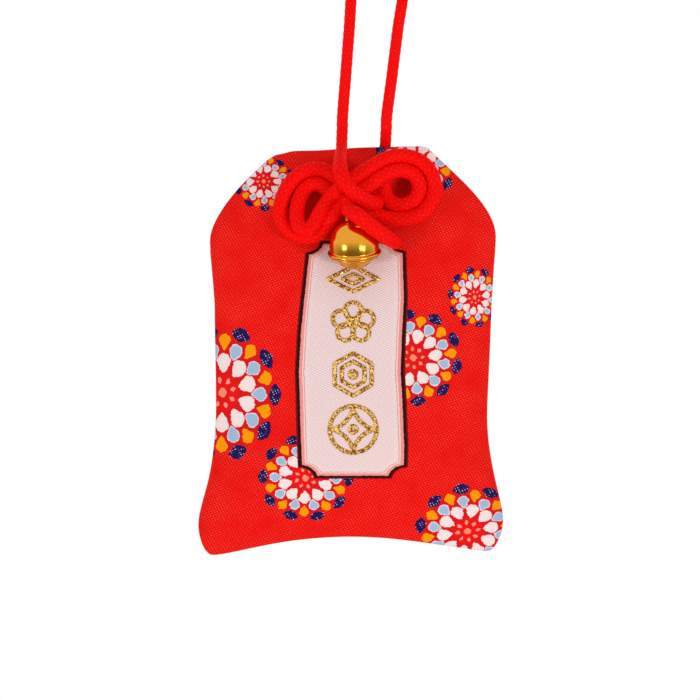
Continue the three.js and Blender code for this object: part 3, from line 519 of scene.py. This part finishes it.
def put_panel(name, node, outer, inner, bloom, label):
    """One closed cloth panel: the outer and inner grids with a rim between, and the pattern's places."""
    rows, columns = x.shape
    number = np.arange(rows * columns).reshape(rows, columns)
    loop = np.r_[number[0, :-1], number[:-1, -1], number[-1, :0:-1], number[:0:-1, 0]]
    ahead = np.roll(loop, -1)
    rim = np.stack([loop, ahead, ahead + number.size, loop + number.size], -1)
    faces = grid_faces(rows, columns, False)
    faces = np.vstack([faces, faces[:, ::-1] + number.size, rim])
    seen_x, seen_z = lean(x, z)
    both = np.stack([np.stack([seen_x, y, seen_z], -1) for y in (outer, inner)])
    panel = put_mesh(name, both + POUCH, faces, brocade)
    flat = np.stack([x, z, 0 * x], -1)
    for title, kind, field, values in (("cloth_mm", "FLOAT_VECTOR", "vector", flat),
                                       ("bloom", "FLOAT_COLOR", "color", bloom),
                                       ("label_mm", "FLOAT_VECTOR", "vector", label)):
        attribute = panel.data.attributes.new(title, kind, "POINT")
        attribute.data.foreach_set(field, np.concatenate([values, values]).astype(np.float32).ravel())
    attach(panel, "pouch")
    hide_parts(node)


def front_outside(x, z):
    """Depth of the front panel's outside: the cloth's rise over its inside, rounded off at the edge, with
    sine puffs that run out from the knot and along the seam, and a pleat under the right ear's hole."""
    share = share_of(x, z)
    away = np.hypot(x - KNOT[0], z - KNOT[1])
    around = np.arctan2(z - KNOT[1], x - KNOT[0])
    rays = np.sin(7 * around) * smooth(3, 10, away) * (1 - smooth(12, 30, away))
    puffs = np.sin(0.9 * z + 0.3 * x) * smooth(0.55, 0.9, share) * (1 - smooth(0.93, 1, share))
    pleat = PLEAT_DEPTH * np.exp(-((x - PLEAT[0]) ** 2 + (z - PLEAT[1]) ** 2) / PLEAT_RADIUS ** 2)
    return front_inside(x, z) - CLOTH_RISE * (1 - share ** CLOTH_ROUND) + 0.16 * rays + 0.07 * puffs + pleat


back = back_inside(x, z) + CLOTH_RISE * (1 - share ** CLOTH_ROUND)
no_label = np.full((*x.shape, 3), 99.0)  # the back lies far outside any label
put_panel("back_cloth", "back_panel", back, np.maximum(back - CLOTH_THICKNESS, SEAM_ROOM),
          bloom_places(x, z, BACK_BLOOMS), no_label)
bloom = bloom_places(x, z, BLOOMS)
bloom[np.hypot(x - PLEAT[0], z - PLEAT[1]) < PLAIN_RADIUS, 2] = 1
label = label_places(x, z)
sunk = np.abs(label[..., :2]) - LABEL_HALF
on_label = 1 - smooth(-0.5, 0.1, np.max(sunk, axis=-1))
on_bloom = 1 - smooth(0.9, BLOOM_EDGE, np.hypot(bloom[..., 0], bloom[..., 1]) + bloom[..., 2])
front = front_outside(x, z) - FIGURE_RISE * np.maximum(on_label, 0.8 * on_bloom) * (1 - share ** 8)
put_panel("front_cloth", "front_panel", front, np.minimum(front + CLOTH_THICKNESS, -SEAM_ROOM),
          bloom, label)

# Gold ornaments: four traditional figures down the label, nested lozenges, a plum blossom, nested hexagons,
# and a circle round a curved square. Each stroke is a rounded ribbon of thread that lies on the cloth.
# Gold lame thread: glitters as twisted foil does, with painted glints as bright specks beside painted shade
# as brown ones.
COLUMN = 0.4  # the figures' middle line, right of the pouch's zero, in mm
STROKE_HALF_WIDTH = 0.4
STROKE_HALF_HEIGHT = 0.26
STROKE_LIFT = 0.12  # the stroke's middle above the cloth
FOIL_GRAIN = 0.3846  # the foil's glints, drawn as coarse as they need to be to show
FOIL_RISE = 0.15
lame, tree, shader = new_material("gold_lame_thread", {"Metallic": 0.7, "Roughness": 0.35})
place = add(tree, "ShaderNodeTexCoord", {}, {})["Object"]
glint = add(tree, "ShaderNodeTexNoise", {}, {"Vector": place, "Scale": 1000 / FOIL_GRAIN, "Detail": 1.0})[0]
glint = add(tree, "ShaderNodeMapRange", {}, {0: glint, 1: 0.38, 2: 0.64})[0]
# Painted glints and painted shade: the foil's specks go from brown to pale gold in the base colour.
tint = add(tree, "ShaderNodeMix", {"data_type": "RGBA"},
           {0: glint, 6: to_linear("#8C4E06"), 7: to_linear("#FFD274")})[2]
tree.links.new(tint, shader.inputs["Base Color"])
bump = add(tree, "ShaderNodeBump", {}, {"Strength": 0.8, "Distance": FOIL_RISE / 1000, "Height": glint})[0]
tree.links.new(bump, shader.inputs["Normal"])
turn = np.linspace(0, 2 * np.pi, 64, endpoint=False)
circle = np.stack([np.cos(turn), np.sin(turn)], -1)
curved_square = np.sign(circle) * np.abs(circle) ** 3
lozenge = even(np.array([(1, 0), (0, 1), (-1, 0), (0, -1), (1, 0)], float), 65)[:-1]
corner = np.radians(90 + 60 * np.arange(7))
hexagon = even(np.stack([np.cos(corner), np.sin(corner)], -1), 65)[:-1]
petal_ways = np.radians(90 + 72 * np.arange(5))
at_lozenges = np.array([COLUMN, -24.4])
at_blossom = np.array([COLUMN, -32.4])
at_hexagons = np.array([COLUMN, -41.9])
at_circle = np.array([COLUMN, -52.0])
strokes = [lozenge * half + at_lozenges for half in ((4.7, 2.3), (1.9, 0.9))]
strokes += [circle * 1.5 + at_blossom + (2.4 * np.cos(way), 2.2 * np.sin(way)) for way in petal_ways]
strokes += [circle * 0.5 + at_blossom]
strokes += [hexagon * reach + at_hexagons for reach in (3.9, 2.4)]
strokes += [circle * 0.6 + at_hexagons]
strokes += [circle * 4.3 + at_circle, curved_square * 4.0 + at_circle, circle * 0.6 + at_circle]
girth = np.linspace(0, 2 * np.pi, 12, endpoint=False)
points = []
faces = []
for stroke in strokes:
    ahead = np.roll(stroke, -1, axis=0) - np.roll(stroke, 1, axis=0)
    aside = np.stack([-ahead[:, 1], ahead[:, 0]], -1) / np.hypot(*ahead.T)[:, None]
    spread = stroke[:, None] + STROKE_HALF_WIDTH * np.cos(girth)[None, :, None] * aside[:, None]
    cloth = front_outside(stroke[:, 0], stroke[:, 1])[:, None]
    rise = cloth - STROKE_LIFT - STROKE_HALF_HEIGHT * np.sin(girth)[None]
    ribbon = np.stack([spread[..., 0], rise, spread[..., 1]], -1)
    quads = grid_faces(*ribbon.shape[:2], True)
    last, first = np.arange(rise.size).reshape(rise.shape)[[-1, 0]]
    close = np.stack([last, first, np.roll(first, -1), np.roll(last, -1)], -1)
    faces.append(np.vstack([quads, close]) + sum(len(p) for p in points))
    points.append(ribbon.reshape(-1, 3))
ornaments = put_mesh("label_ornaments", np.vstack(points) + POUCH, np.vstack(faces), lame)
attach(ornaments, "pouch")

# Seam thread: the stitching of both sides and the hem, in the shape of its CAD node.
# Polyester sewing thread: the red of the cord, slightly shiny, with lighter tufts of its too fine fibres.
thread, tree, shader = new_material("polyester_thread", {"Roughness": 0.6})
speckle(tree, shader, ("#D20C0A", "#EE2018"), (0.25, 0.25, 0.25), 2)
dress("seam_thread", thread)

# Hanging cord: from the front of the knot's top up the left strand, over the loop, and down the right strand
# into the pouch's mouth. Its braid is in the mesh.
# Braided silky cord: strong red with little sheen, and a painted highlight as a lighter speck where a thread
# comes over.
CORD_RADIUS = 1.05
LOOP_RADIUS = 4.7
RING_STEP = 0.13  # between the rings of a braid's mesh, in mm
RING_POINTS = 48
BRAID_THREADS = 8  # that wind each way
BRAID_PITCH = 1.4  # along the cord from thread to thread
FIBRE_SIZE = 1 / 3  # tufts of fibres, because single ones are too fine to show
FIBRE_RISE = 0.04


def along_route(route, spacing):
    """Evenly spaced points on the centripetal Catmull-Rom curve through a route: in each span a cubic whose
    end slopes come from its neighbours, with knots spaced by the square root of the distance."""
    p = np.asarray(route, float)
    p = np.vstack([2 * p[0] - p[1], p, 2 * p[-1] - p[-2]])
    a, b, c, d = p[:-3], p[1:-2], p[2:-1], p[3:]
    before, here, after = (np.sqrt(np.linalg.norm(v, axis=1))[:, None] for v in (b - a, c - b, d - c))
    leave = ((b - a) / before - (c - a) / (before + here) + (c - b) / here) * here
    arrive = ((c - b) / here - (d - b) / (here + after) + (d - c) / after) * here
    t = np.linspace(0, 1, 40, endpoint=False)[None, :, None]
    b, c, leave, arrive = b[:, None], c[:, None], leave[:, None], arrive[:, None]
    curve = (b * (2 * t ** 3 - 3 * t * t + 1) + leave * (t ** 3 - 2 * t * t + t)
             + c * (3 * t * t - 2 * t ** 3) + arrive * (t ** 3 - t * t))
    curve = np.vstack([curve.reshape(-1, 3), p[-2]])
    walked = np.r_[0, np.cumsum(np.linalg.norm(np.diff(curve, axis=0), axis=1))]
    places = np.linspace(0, walked[-1], int(walked[-1] / spacing))
    return np.stack([np.interp(places, walked, curve[:, i]) for i in range(3)], -1), places


def braided_tube(name, line, places, radius, material):
    """A round braid along a line: eight threads wind each way, and each thread's height is |sin| across it
    times the square root of |sin| along it, over or under by turns; the ends close in half a ball."""
    way = np.gradient(line, axis=0)
    way /= np.linalg.norm(way, axis=1)[:, None]
    side = np.cross(way, (0.0, 1.0, 0.0))
    side /= np.linalg.norm(side, axis=1)[:, None]
    third = np.cross(side, way)
    turn = np.linspace(0, 2 * np.pi, RING_POINTS, endpoint=False)[None]
    wound = BRAID_THREADS * turn / (2 * np.pi)
    left = wound + places[:, None] / BRAID_PITCH
    right = wound - places[:, None] / BRAID_PITCH
    over = (np.floor(left) + np.floor(right)) % 2 == 0
    left, right = np.abs(np.sin(np.pi * left)), np.abs(np.sin(np.pi * right))
    thread = np.where(over, left * np.sqrt(right), right * np.sqrt(left))
    end = np.clip(np.minimum(places, places[-1] - places) / radius, 0.01, 1)
    reach = ((radius * np.sqrt(1 - (1 - end) ** 2))[:, None] * (0.95 + 0.07 * thread))[..., None]
    outwards = np.cos(turn)[..., None] * side[:, None] + np.sin(turn)[..., None] * third[:, None]
    count = len(places) * RING_POINTS
    caps = [list(range(RING_POINTS)), list(range(count - RING_POINTS, count))]
    faces = [*grid_faces(len(places), RING_POINTS, True), *caps]
    tube = put_mesh(name, line[:, None] + reach * outwards, faces, material)
    braid = tube.data.attributes.new("braid", "FLOAT", "POINT")
    braid.data.foreach_set("value", thread.astype(np.float32).ravel())
    return tube


red_braid, tree, shader = new_material("braided_red_cord", {"Roughness": 0.55, "Specular IOR Level": 0.05})
# The speck is a painted highlight on each thread's crest, where the fibre noise meets the braid's height.
speck = add(tree, "ShaderNodeAttribute", {"attribute_name": "braid"}, {})["Fac"]
place = add(tree, "ShaderNodeTexCoord", {}, {})["Object"]
fibre = add(tree, "ShaderNodeTexNoise", {}, {"Vector": place, "Scale": 1000 / FIBRE_SIZE, "Detail": 2.0})[0]
speck = add(tree, "ShaderNodeMath", {"operation": "MULTIPLY"}, {0: fibre, 1: speck})[0]
speck = add(tree, "ShaderNodeMapRange", {}, {0: speck, 1: 0.3, 2: 0.75})[0]
tint = add(tree, "ShaderNodeMix", {"data_type": "RGBA"},
           {0: speck, 6: to_linear("#F40403"), 7: to_linear("#FF2C20")})[2]
tree.links.new(tint, shader.inputs["Base Color"])
bump = add(tree, "ShaderNodeBump", {}, {"Strength": 0.4, "Distance": FIBRE_RISE / 1000, "Height": fibre})[0]
tree.links.new(bump, shader.inputs["Normal"])
turn = np.radians(np.arange(-90, 91, 30))
loop_top = np.stack([LOOP_RADIUS * np.sin(turn), 0 * turn, LOOP_RADIUS * (np.cos(turn) - 1)], -1)
left_strand = np.array([(-1.9, -6.0, -1.9), (-1.75, -4.2, -0.5), (-1.7, -3.1, 0.9), (-1.65, -2.3, 2.3),
                        (-1.6, -1.7, 3.7)]) + POUCH
left_rise = [(-6.6, 0, -29.8), (-5.967, 0, -21.433), (-5.333, 0, -13.067)]
right_fall = [(3.643, 0, -13.067), (2.587, 0, -21.433), (1.53, 0, -29.8)]
right_strand = np.array([(6.53, -1.7, 3.7), (6.45, -0.9, 2.4), (6.4, -0.2, 1.2), (6.3, 0, 0), (6.2, 0, -2),
                         (6.1, -0.2, -4.2), (6.0, -0.4, -6.2)]) + POUCH
cord_route = np.vstack([left_strand, left_rise, loop_top, right_fall, right_strand])
line, places = along_route(cord_route, RING_STEP)
hanging = braided_tube("hanging_cord", line, places, CORD_RADIUS, red_braid)
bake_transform(hanging)
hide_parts("hanging_loop", "hem_cord")

# Bow knot: the left strand crosses the knot's middle in front, makes two turns in each ear and leaves as a
# tail that comes forward through the bell's shank and over the bell's shoulder. It is the same cord.
BOW_ROUTE = ((-1.75, -4.2, -0.5), (-1.9, -6.0, -1.9), (-2.0, -8.2, -3.4), (-1.8, -10.0, -5.2),
             (-1.1, -10.6, -7.0), (0.2, -10.5, -8.4), (1.7, -10.2, -9.6), (3.4, -9.1, -10.4),
             (4.6, -7.2, -10.5), (4.1, -5.3, -9.6), (2.9, -4.8, -7.9), (2.8, -4.8, -5.2),
             (4.4, -4.8, -4.2), (5.7, -4.8, -5.2), (6.0, -4.8, -7.0), (6.3, -4.9, -8.8),
             (7.4, -5.2, -10.3), (9.4, -5.5, -10.8), (11.7, -5.3, -9.8), (12.6, -5.0, -7.6),
             (11.7, -4.8, -5.4), (9.5, -5.0, -4.45), (7.2, -5.9, -4.9), (5.0, -6.9, -6.1),
             (2.6, -7.5, -7.8), (0.2, -7.5, -9.4), (-2.1, -7.5, -11.4), (-4.0, -7.2, -14.0),
             (-6.0, -6.7, -16.1), (-8.9, -6.2, -16.6), (-11.5, -5.8, -15.4), (-12.9, -5.5, -13.1),
             (-12.7, -5.2, -10.0), (-11.3, -5.0, -7.0), (-8.9, -4.8, -4.8), (-5.9, -4.8, -4.2),
             (-3.3, -5.0, -5.3), (-1.2, -5.0, -7.5), (0.9, -5.0, -10.0), (3.5, -5.3, -12.0),
             (6.5, -5.8, -13.2), (9.5, -6.0, -13.4), (12.8, -5.7, -12.4), (14.8, -5.2, -10.1),
             (15.4, -4.7, -7.6), (14.6, -4.4, -4.7), (12.5, -4.3, -2.6), (9.5, -4.4, -1.75),
             (6.5, -5.2, -2.3), (3.7, -6.4, -3.9), (1.1, -7.5, -5.6), (-1.5, -7.6, -7.4),
             (-3.8, -7.6, -9.7), (-5.6, -7.6, -12.2), (-6.9, -8.2, -14.6), (-8.3, -8.5, -15.6),
             (-9.5, -8.0, -14.7), (-9.9, -6.8, -12.5), (-9.5, -5.9, -10.0), (-8.3, -5.2, -7.8),
             (-6.5, -5.0, -6.9), (-4.6, -5.0, -7.8), (-3.3, -5.0, -9.4), (-2.0, -5.0, -10.9),
             (-0.8, -5.1, -11.9), (0.3, -6.4, -12.2), (0.5, -8.3, -12.1), (0.2, -10.2, -12.3),
             (-0.5, -11.9, -12.0), (0.9, -13.4, -12.85), (3.15, -13.0, -14.6), (4.979, -12.0, -15.95),
             (6.69, -9.7, -17.0), (7.988, -7.1, -17.7), (8.519, -5.4, -18.0))
line, places = along_route(np.array(BOW_ROUTE) + POUCH, RING_STEP)
# The cord's radius in mm, by the way from its start and the way that is left over to the tail's tip.
TIED_RADIUS = 1.32
left_over = places[-1] - places
in_ears = smooth(27, 32, left_over)
in_shank = smooth(25, 22, left_over) - smooth(17.5, 15, left_over)
over_bell = smooth(15.5, 12.5, left_over)
at_tip = smooth(6, 0, left_over)
at_start = 1 - smooth(-1, 7, places)
radius = TIED_RADIUS + 0.07 * in_ears - 0.28 * in_shank + 0.13 * over_bell - 0.3 * at_tip - 0.4 * at_start
bow = braided_tube("bow_knot_cord", line, places, radius, red_braid)
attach(bow, "pouch")
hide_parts("bow_knot")

# Bell: two pressed brass shells that meet at a rolled rim, with a slit cut through the lower one.
# Each shell is a turned profile with its wall. Gold plating: a bright warm mirror of the room and the cloth.
BELL = np.array([-4.446, -6.797, -52.954])  # the bell's middle in mm of the frame
BELL_LEAN = np.radians(18)  # its pole leans to the front
BELL_TURN = np.radians(3)  # and to the left
BELL_RADIUS = 4.5
BELL_WALL = 0.4
BELL_SIDES = 128
DOME_RISE = 5.4  # of the upper shell, from DOME_SEAT below the bell's middle
DOME_SEAT = 0.9
DOME_FULLNESS = 0.86  # the power that makes the dome fuller than a ball
RIM_REACH = 4.56  # the middle of the rolled rim, out from the axis and below the bell's middle
RIM_DROP = 1.5
RIM_RADIUS = 0.36
RIM_FOOT = (4.2, -1.8)  # where the rim turns back in, and the lower shell's lip, out and up
LOWER_LIP = ((4.2, -2.22), (4.4, -2.22), (4.48, -2.1), (4.44, -1.96), (4.3, -1.9))
SLIT_SIZE = (7.4, 1.0, 4.0)
SLIT_DROP = 4.4  # its cutter's middle below the bell's
gold, tree, shader = new_material("gold_plated_brass", {"Metallic": 1.0, "Roughness": 0.14})
speckle(tree, shader, ("#E69828", "#EEAA3C"), (2, 2, 2), 3)
bell_up = np.array([-np.cos(BELL_LEAN) * np.sin(BELL_TURN), -np.sin(BELL_LEAN),
                    np.cos(BELL_LEAN) * np.cos(BELL_TURN)])
bell_side = np.array([bell_up[2], 0, -bell_up[0]]) / np.hypot(bell_up[0], bell_up[2])
bell_axes = np.array([bell_side, np.cross(bell_up, bell_side), bell_up])
turn = np.linspace(0, 2 * np.pi, BELL_SIDES, endpoint=False)
upper = np.radians(np.linspace(90, 0, 60))
lower = np.radians(np.linspace(-90, -28, 60))
curl = np.radians(np.linspace(100, -95, 16))
dome = np.stack([np.cos(upper), np.sin(upper)], -1) ** DOME_FULLNESS
bowl = np.stack([np.cos(lower), np.sin(lower)], -1)
rim = np.stack([RIM_REACH + RIM_RADIUS * np.cos(curl), RIM_RADIUS * np.sin(curl) - RIM_DROP], -1)
upper_profile = np.vstack([dome * (BELL_RADIUS, DOME_RISE) - (0, DOME_SEAT), rim, [RIM_FOOT],
                           dome[::-1] * (BELL_RADIUS - BELL_WALL, DOME_RISE - BELL_WALL) - (0, DOME_SEAT)])
lower_profile = np.vstack([bowl * BELL_RADIUS, LOWER_LIP, bowl[::-1] * (BELL_RADIUS - BELL_WALL)])
shells = []
for name, node, profile in (("bell_upper_half", "bell_upper_shell", upper_profile),
                            ("bell_lower_half", "bell_lower_shell", lower_profile)):
    reach, rise = np.abs(profile[:, :1]), profile[:, 1:]
    turned = np.stack([reach * np.cos(turn), reach * np.sin(turn), rise + 0 * turn], -1)
    turned[reach[:, 0] < 1e-6, :, :2] = 0
    shell = put_mesh(name, turned @ bell_axes + BELL, grid_faces(len(profile), BELL_SIDES, True), gold)
    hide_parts(node)
    shells.append(shell)
cutter = bmesh.new()
bmesh.ops.create_cube(cutter, size=1)
for corner in cutter.verts:
    corner.co = ((np.array(corner.co) * SLIT_SIZE - (0, 0, SLIT_DROP)) @ bell_axes + BELL) / 1000
cut_mesh = bpy.data.meshes.new("slit")
cutter.to_mesh(cut_mesh)
cutter.free()
slit = bpy.data.objects.new("slit", cut_mesh)
bpy.context.scene.collection.objects.link(slit)
cut = shells[1].modifiers.new("slit", "BOOLEAN")
cut.object = slit
cut.solver = "EXACT"
opened = bpy.data.meshes.new_from_object(shells[1].evaluated_get(bpy.context.evaluated_depsgraph_get()))
shells[1].modifiers.clear()
shells[1].data = opened
bpy.data.objects.remove(slit)
for shell in shells:
    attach(shell, "bell")

# Bell shank: the wire staple on the bell's pole that holds it on the tail, a ring open below.
# It is bent from the same gold-plated brass, and its feet go into the upper shell.
SHANK_RISE = 5.3  # from the bell's middle to the ring's
SHANK_RADIUS = 1.2
SHANK_WIRE_RADIUS = 0.22
SHANK_SWEEP = 121  # degrees of the ring on each side of its top
SHANK_TWIST = np.radians(15)  # so that it stands square to the tail in it
turn = np.radians(np.linspace(-SHANK_SWEEP, SHANK_SWEEP, 90))[:, None]
girth = np.linspace(0, 2 * np.pi, 20, endpoint=False)[None, :, None]
ring_across = bell_axes[0] * np.cos(SHANK_TWIST) + bell_axes[1] * np.sin(SHANK_TWIST)
line = BELL + SHANK_RISE * bell_up + SHANK_RADIUS * (np.sin(turn) * ring_across + np.cos(turn) * bell_up)
way = np.cos(turn) * ring_across - np.sin(turn) * bell_up
third = np.cross(ring_across, bell_up)
outwards = np.cos(girth) * third + np.sin(girth) * np.cross(way, third)[:, None]
count = turn.size * girth.size
ends = [list(range(girth.size)), list(range(count - girth.size, count))]
shank = put_mesh("bell_wire_shank", line[:, None] + SHANK_WIRE_RADIUS * outwards,
                 [*grid_faces(turn.size, girth.size, True), *ends], gold)
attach(shank, "bell")
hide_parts("bell_shank")

# Bell pellet: the loose ball that rings the bell, in the shape of its CAD node.
# Tumbled steel: a dull grey metal with a faint mottle.
steel, tree, shader = new_material("tumbled_steel", {"Metallic": 1.0, "Roughness": 0.45})
speckle(tree, shader, ("#8E8E8C", "#B8B8B4"), (0.6667, 0.6667, 0.6667), 3)
dress("bell_pellet", steel)

# Studio: a plain pale floor well below the charm, which the camera sees fade into the white background,
# with a soft lamp to the left and to the right. The world is white to the camera; the gold mirrors that
# white, and a darker room below the charm.
FLOOR_LEVEL = -0.36  # in metres, as all of the studio is
FLOOR_FADE = (0.05, 0.28)  # how far out it starts to fade and is gone
LAMP_AIM = np.array([-0.005, 0, -0.07])
LAMP_HEIGHT = 0.1
CAMERA_PLACE = (-0.005185, -0.6, -0.07222)
chalk, tree, shader = new_material("pale_floor", {"Base Color": to_linear("#F6F6F4"), "Roughness": 0.9})
place = add(tree, "ShaderNodeTexCoord", {}, {})["Object"]
place = add(tree, "ShaderNodeVectorMath", {"operation": "MULTIPLY"}, {0: place, 1: (1, 1, 0)})[0]
away = add(tree, "ShaderNodeVectorMath", {"operation": "LENGTH"}, {0: place})["Value"]
away = add(tree, "ShaderNodeMapRange", {}, {0: away, 1: FLOOR_FADE[0], 2: FLOOR_FADE[1]})[0]
seen = add(tree, "ShaderNodeLightPath", {}, {})["Is Camera Ray"]
away = add(tree, "ShaderNodeMath", {"operation": "MULTIPLY"}, {0: away, 1: seen})[0]
glow = add(tree, "ShaderNodeEmission", {}, {"Strength": 1.0})[0]
both = add(tree, "ShaderNodeMixShader", {}, {0: away, 1: shader.outputs[0], 2: glow})[0]
tree.links.new(both, tree.nodes["Material Output"].inputs["Surface"])
floor_mesh = bpy.data.meshes.new("floor")
floor_mesh.from_pydata([(-0.4, -0.3, FLOOR_LEVEL), (0.4, -0.3, FLOOR_LEVEL), (0.4, 0.4, FLOOR_LEVEL),
                        (-0.4, 0.4, FLOOR_LEVEL)], [], [(0, 1, 2, 3)])
floor_mesh.materials.append(chalk)
floor = bpy.data.objects.new("floor", floor_mesh)
bpy.context.scene.collection.objects.link(floor)
world = bpy.data.worlds.new("studio")
bpy.context.scene.world = world
world.use_nodes = True
tree = world.node_tree
ways = add(tree, "ShaderNodeTexCoord", {}, {})["Generated"]
ways = add(tree, "ShaderNodeSeparateXYZ", {}, {0: ways})
ahead = add(tree, "ShaderNodeMapRange", {}, {0: ways[1], 1: -0.6, 2: 0.6, 3: 0.64, 4: 0.8})[0]
mirrored = add(tree, "ShaderNodeMapRange", {}, {0: ways[2], 1: -0.45, 2: 0.05, 3: 0.2, 4: 0.95})[0]
path = add(tree, "ShaderNodeLightPath", {}, {})
level = add(tree, "ShaderNodeMix", {"data_type": "FLOAT"},
            {0: path["Is Glossy Ray"], 2: ahead, 3: mirrored})[0]
for ray in ("Is Transmission Ray", "Is Camera Ray"):
    level = add(tree, "ShaderNodeMix", {"data_type": "FLOAT"}, {0: path[ray], 2: level, 3: 1.0})[0]
tree.links.new(level, tree.nodes["Background"].inputs["Strength"])
tree.nodes["Background"].inputs["Color"].default_value = (1, 1, 1, 1)
for name, spot, wide, power in (("left_lamp", (-0.5, -0.45, -0.21), 0.18, 1.1),
                                ("right_lamp", (0.42, -0.5, -0.21), 0.26, 1.3)):
    lamp = bpy.data.lights.new(name, "AREA")
    lamp.shape = "RECTANGLE"
    lamp.size = wide
    lamp.size_y = LAMP_HEIGHT
    lamp.energy = power
    stand = bpy.data.objects.new(name, lamp)
    stand.location = spot
    aim = LAMP_AIM - spot
    tilt = np.arccos(-aim[2] / np.linalg.norm(aim))
    stand.rotation_euler = (tilt, 0, np.arctan2(aim[1], aim[0]) - np.pi / 2)
    bpy.context.scene.collection.objects.link(stand)
lens = bpy.data.cameras.new("camera")
lens.lens = 167.1
camera = bpy.data.objects.new("camera", lens)
camera.location = CAMERA_PLACE
camera.rotation_euler = (np.pi / 2, 0, 0)
bpy.context.scene.collection.objects.link(camera)
bpy.context.scene.camera = camera
bpy.context.scene.view_settings.view_transform = "Standard"
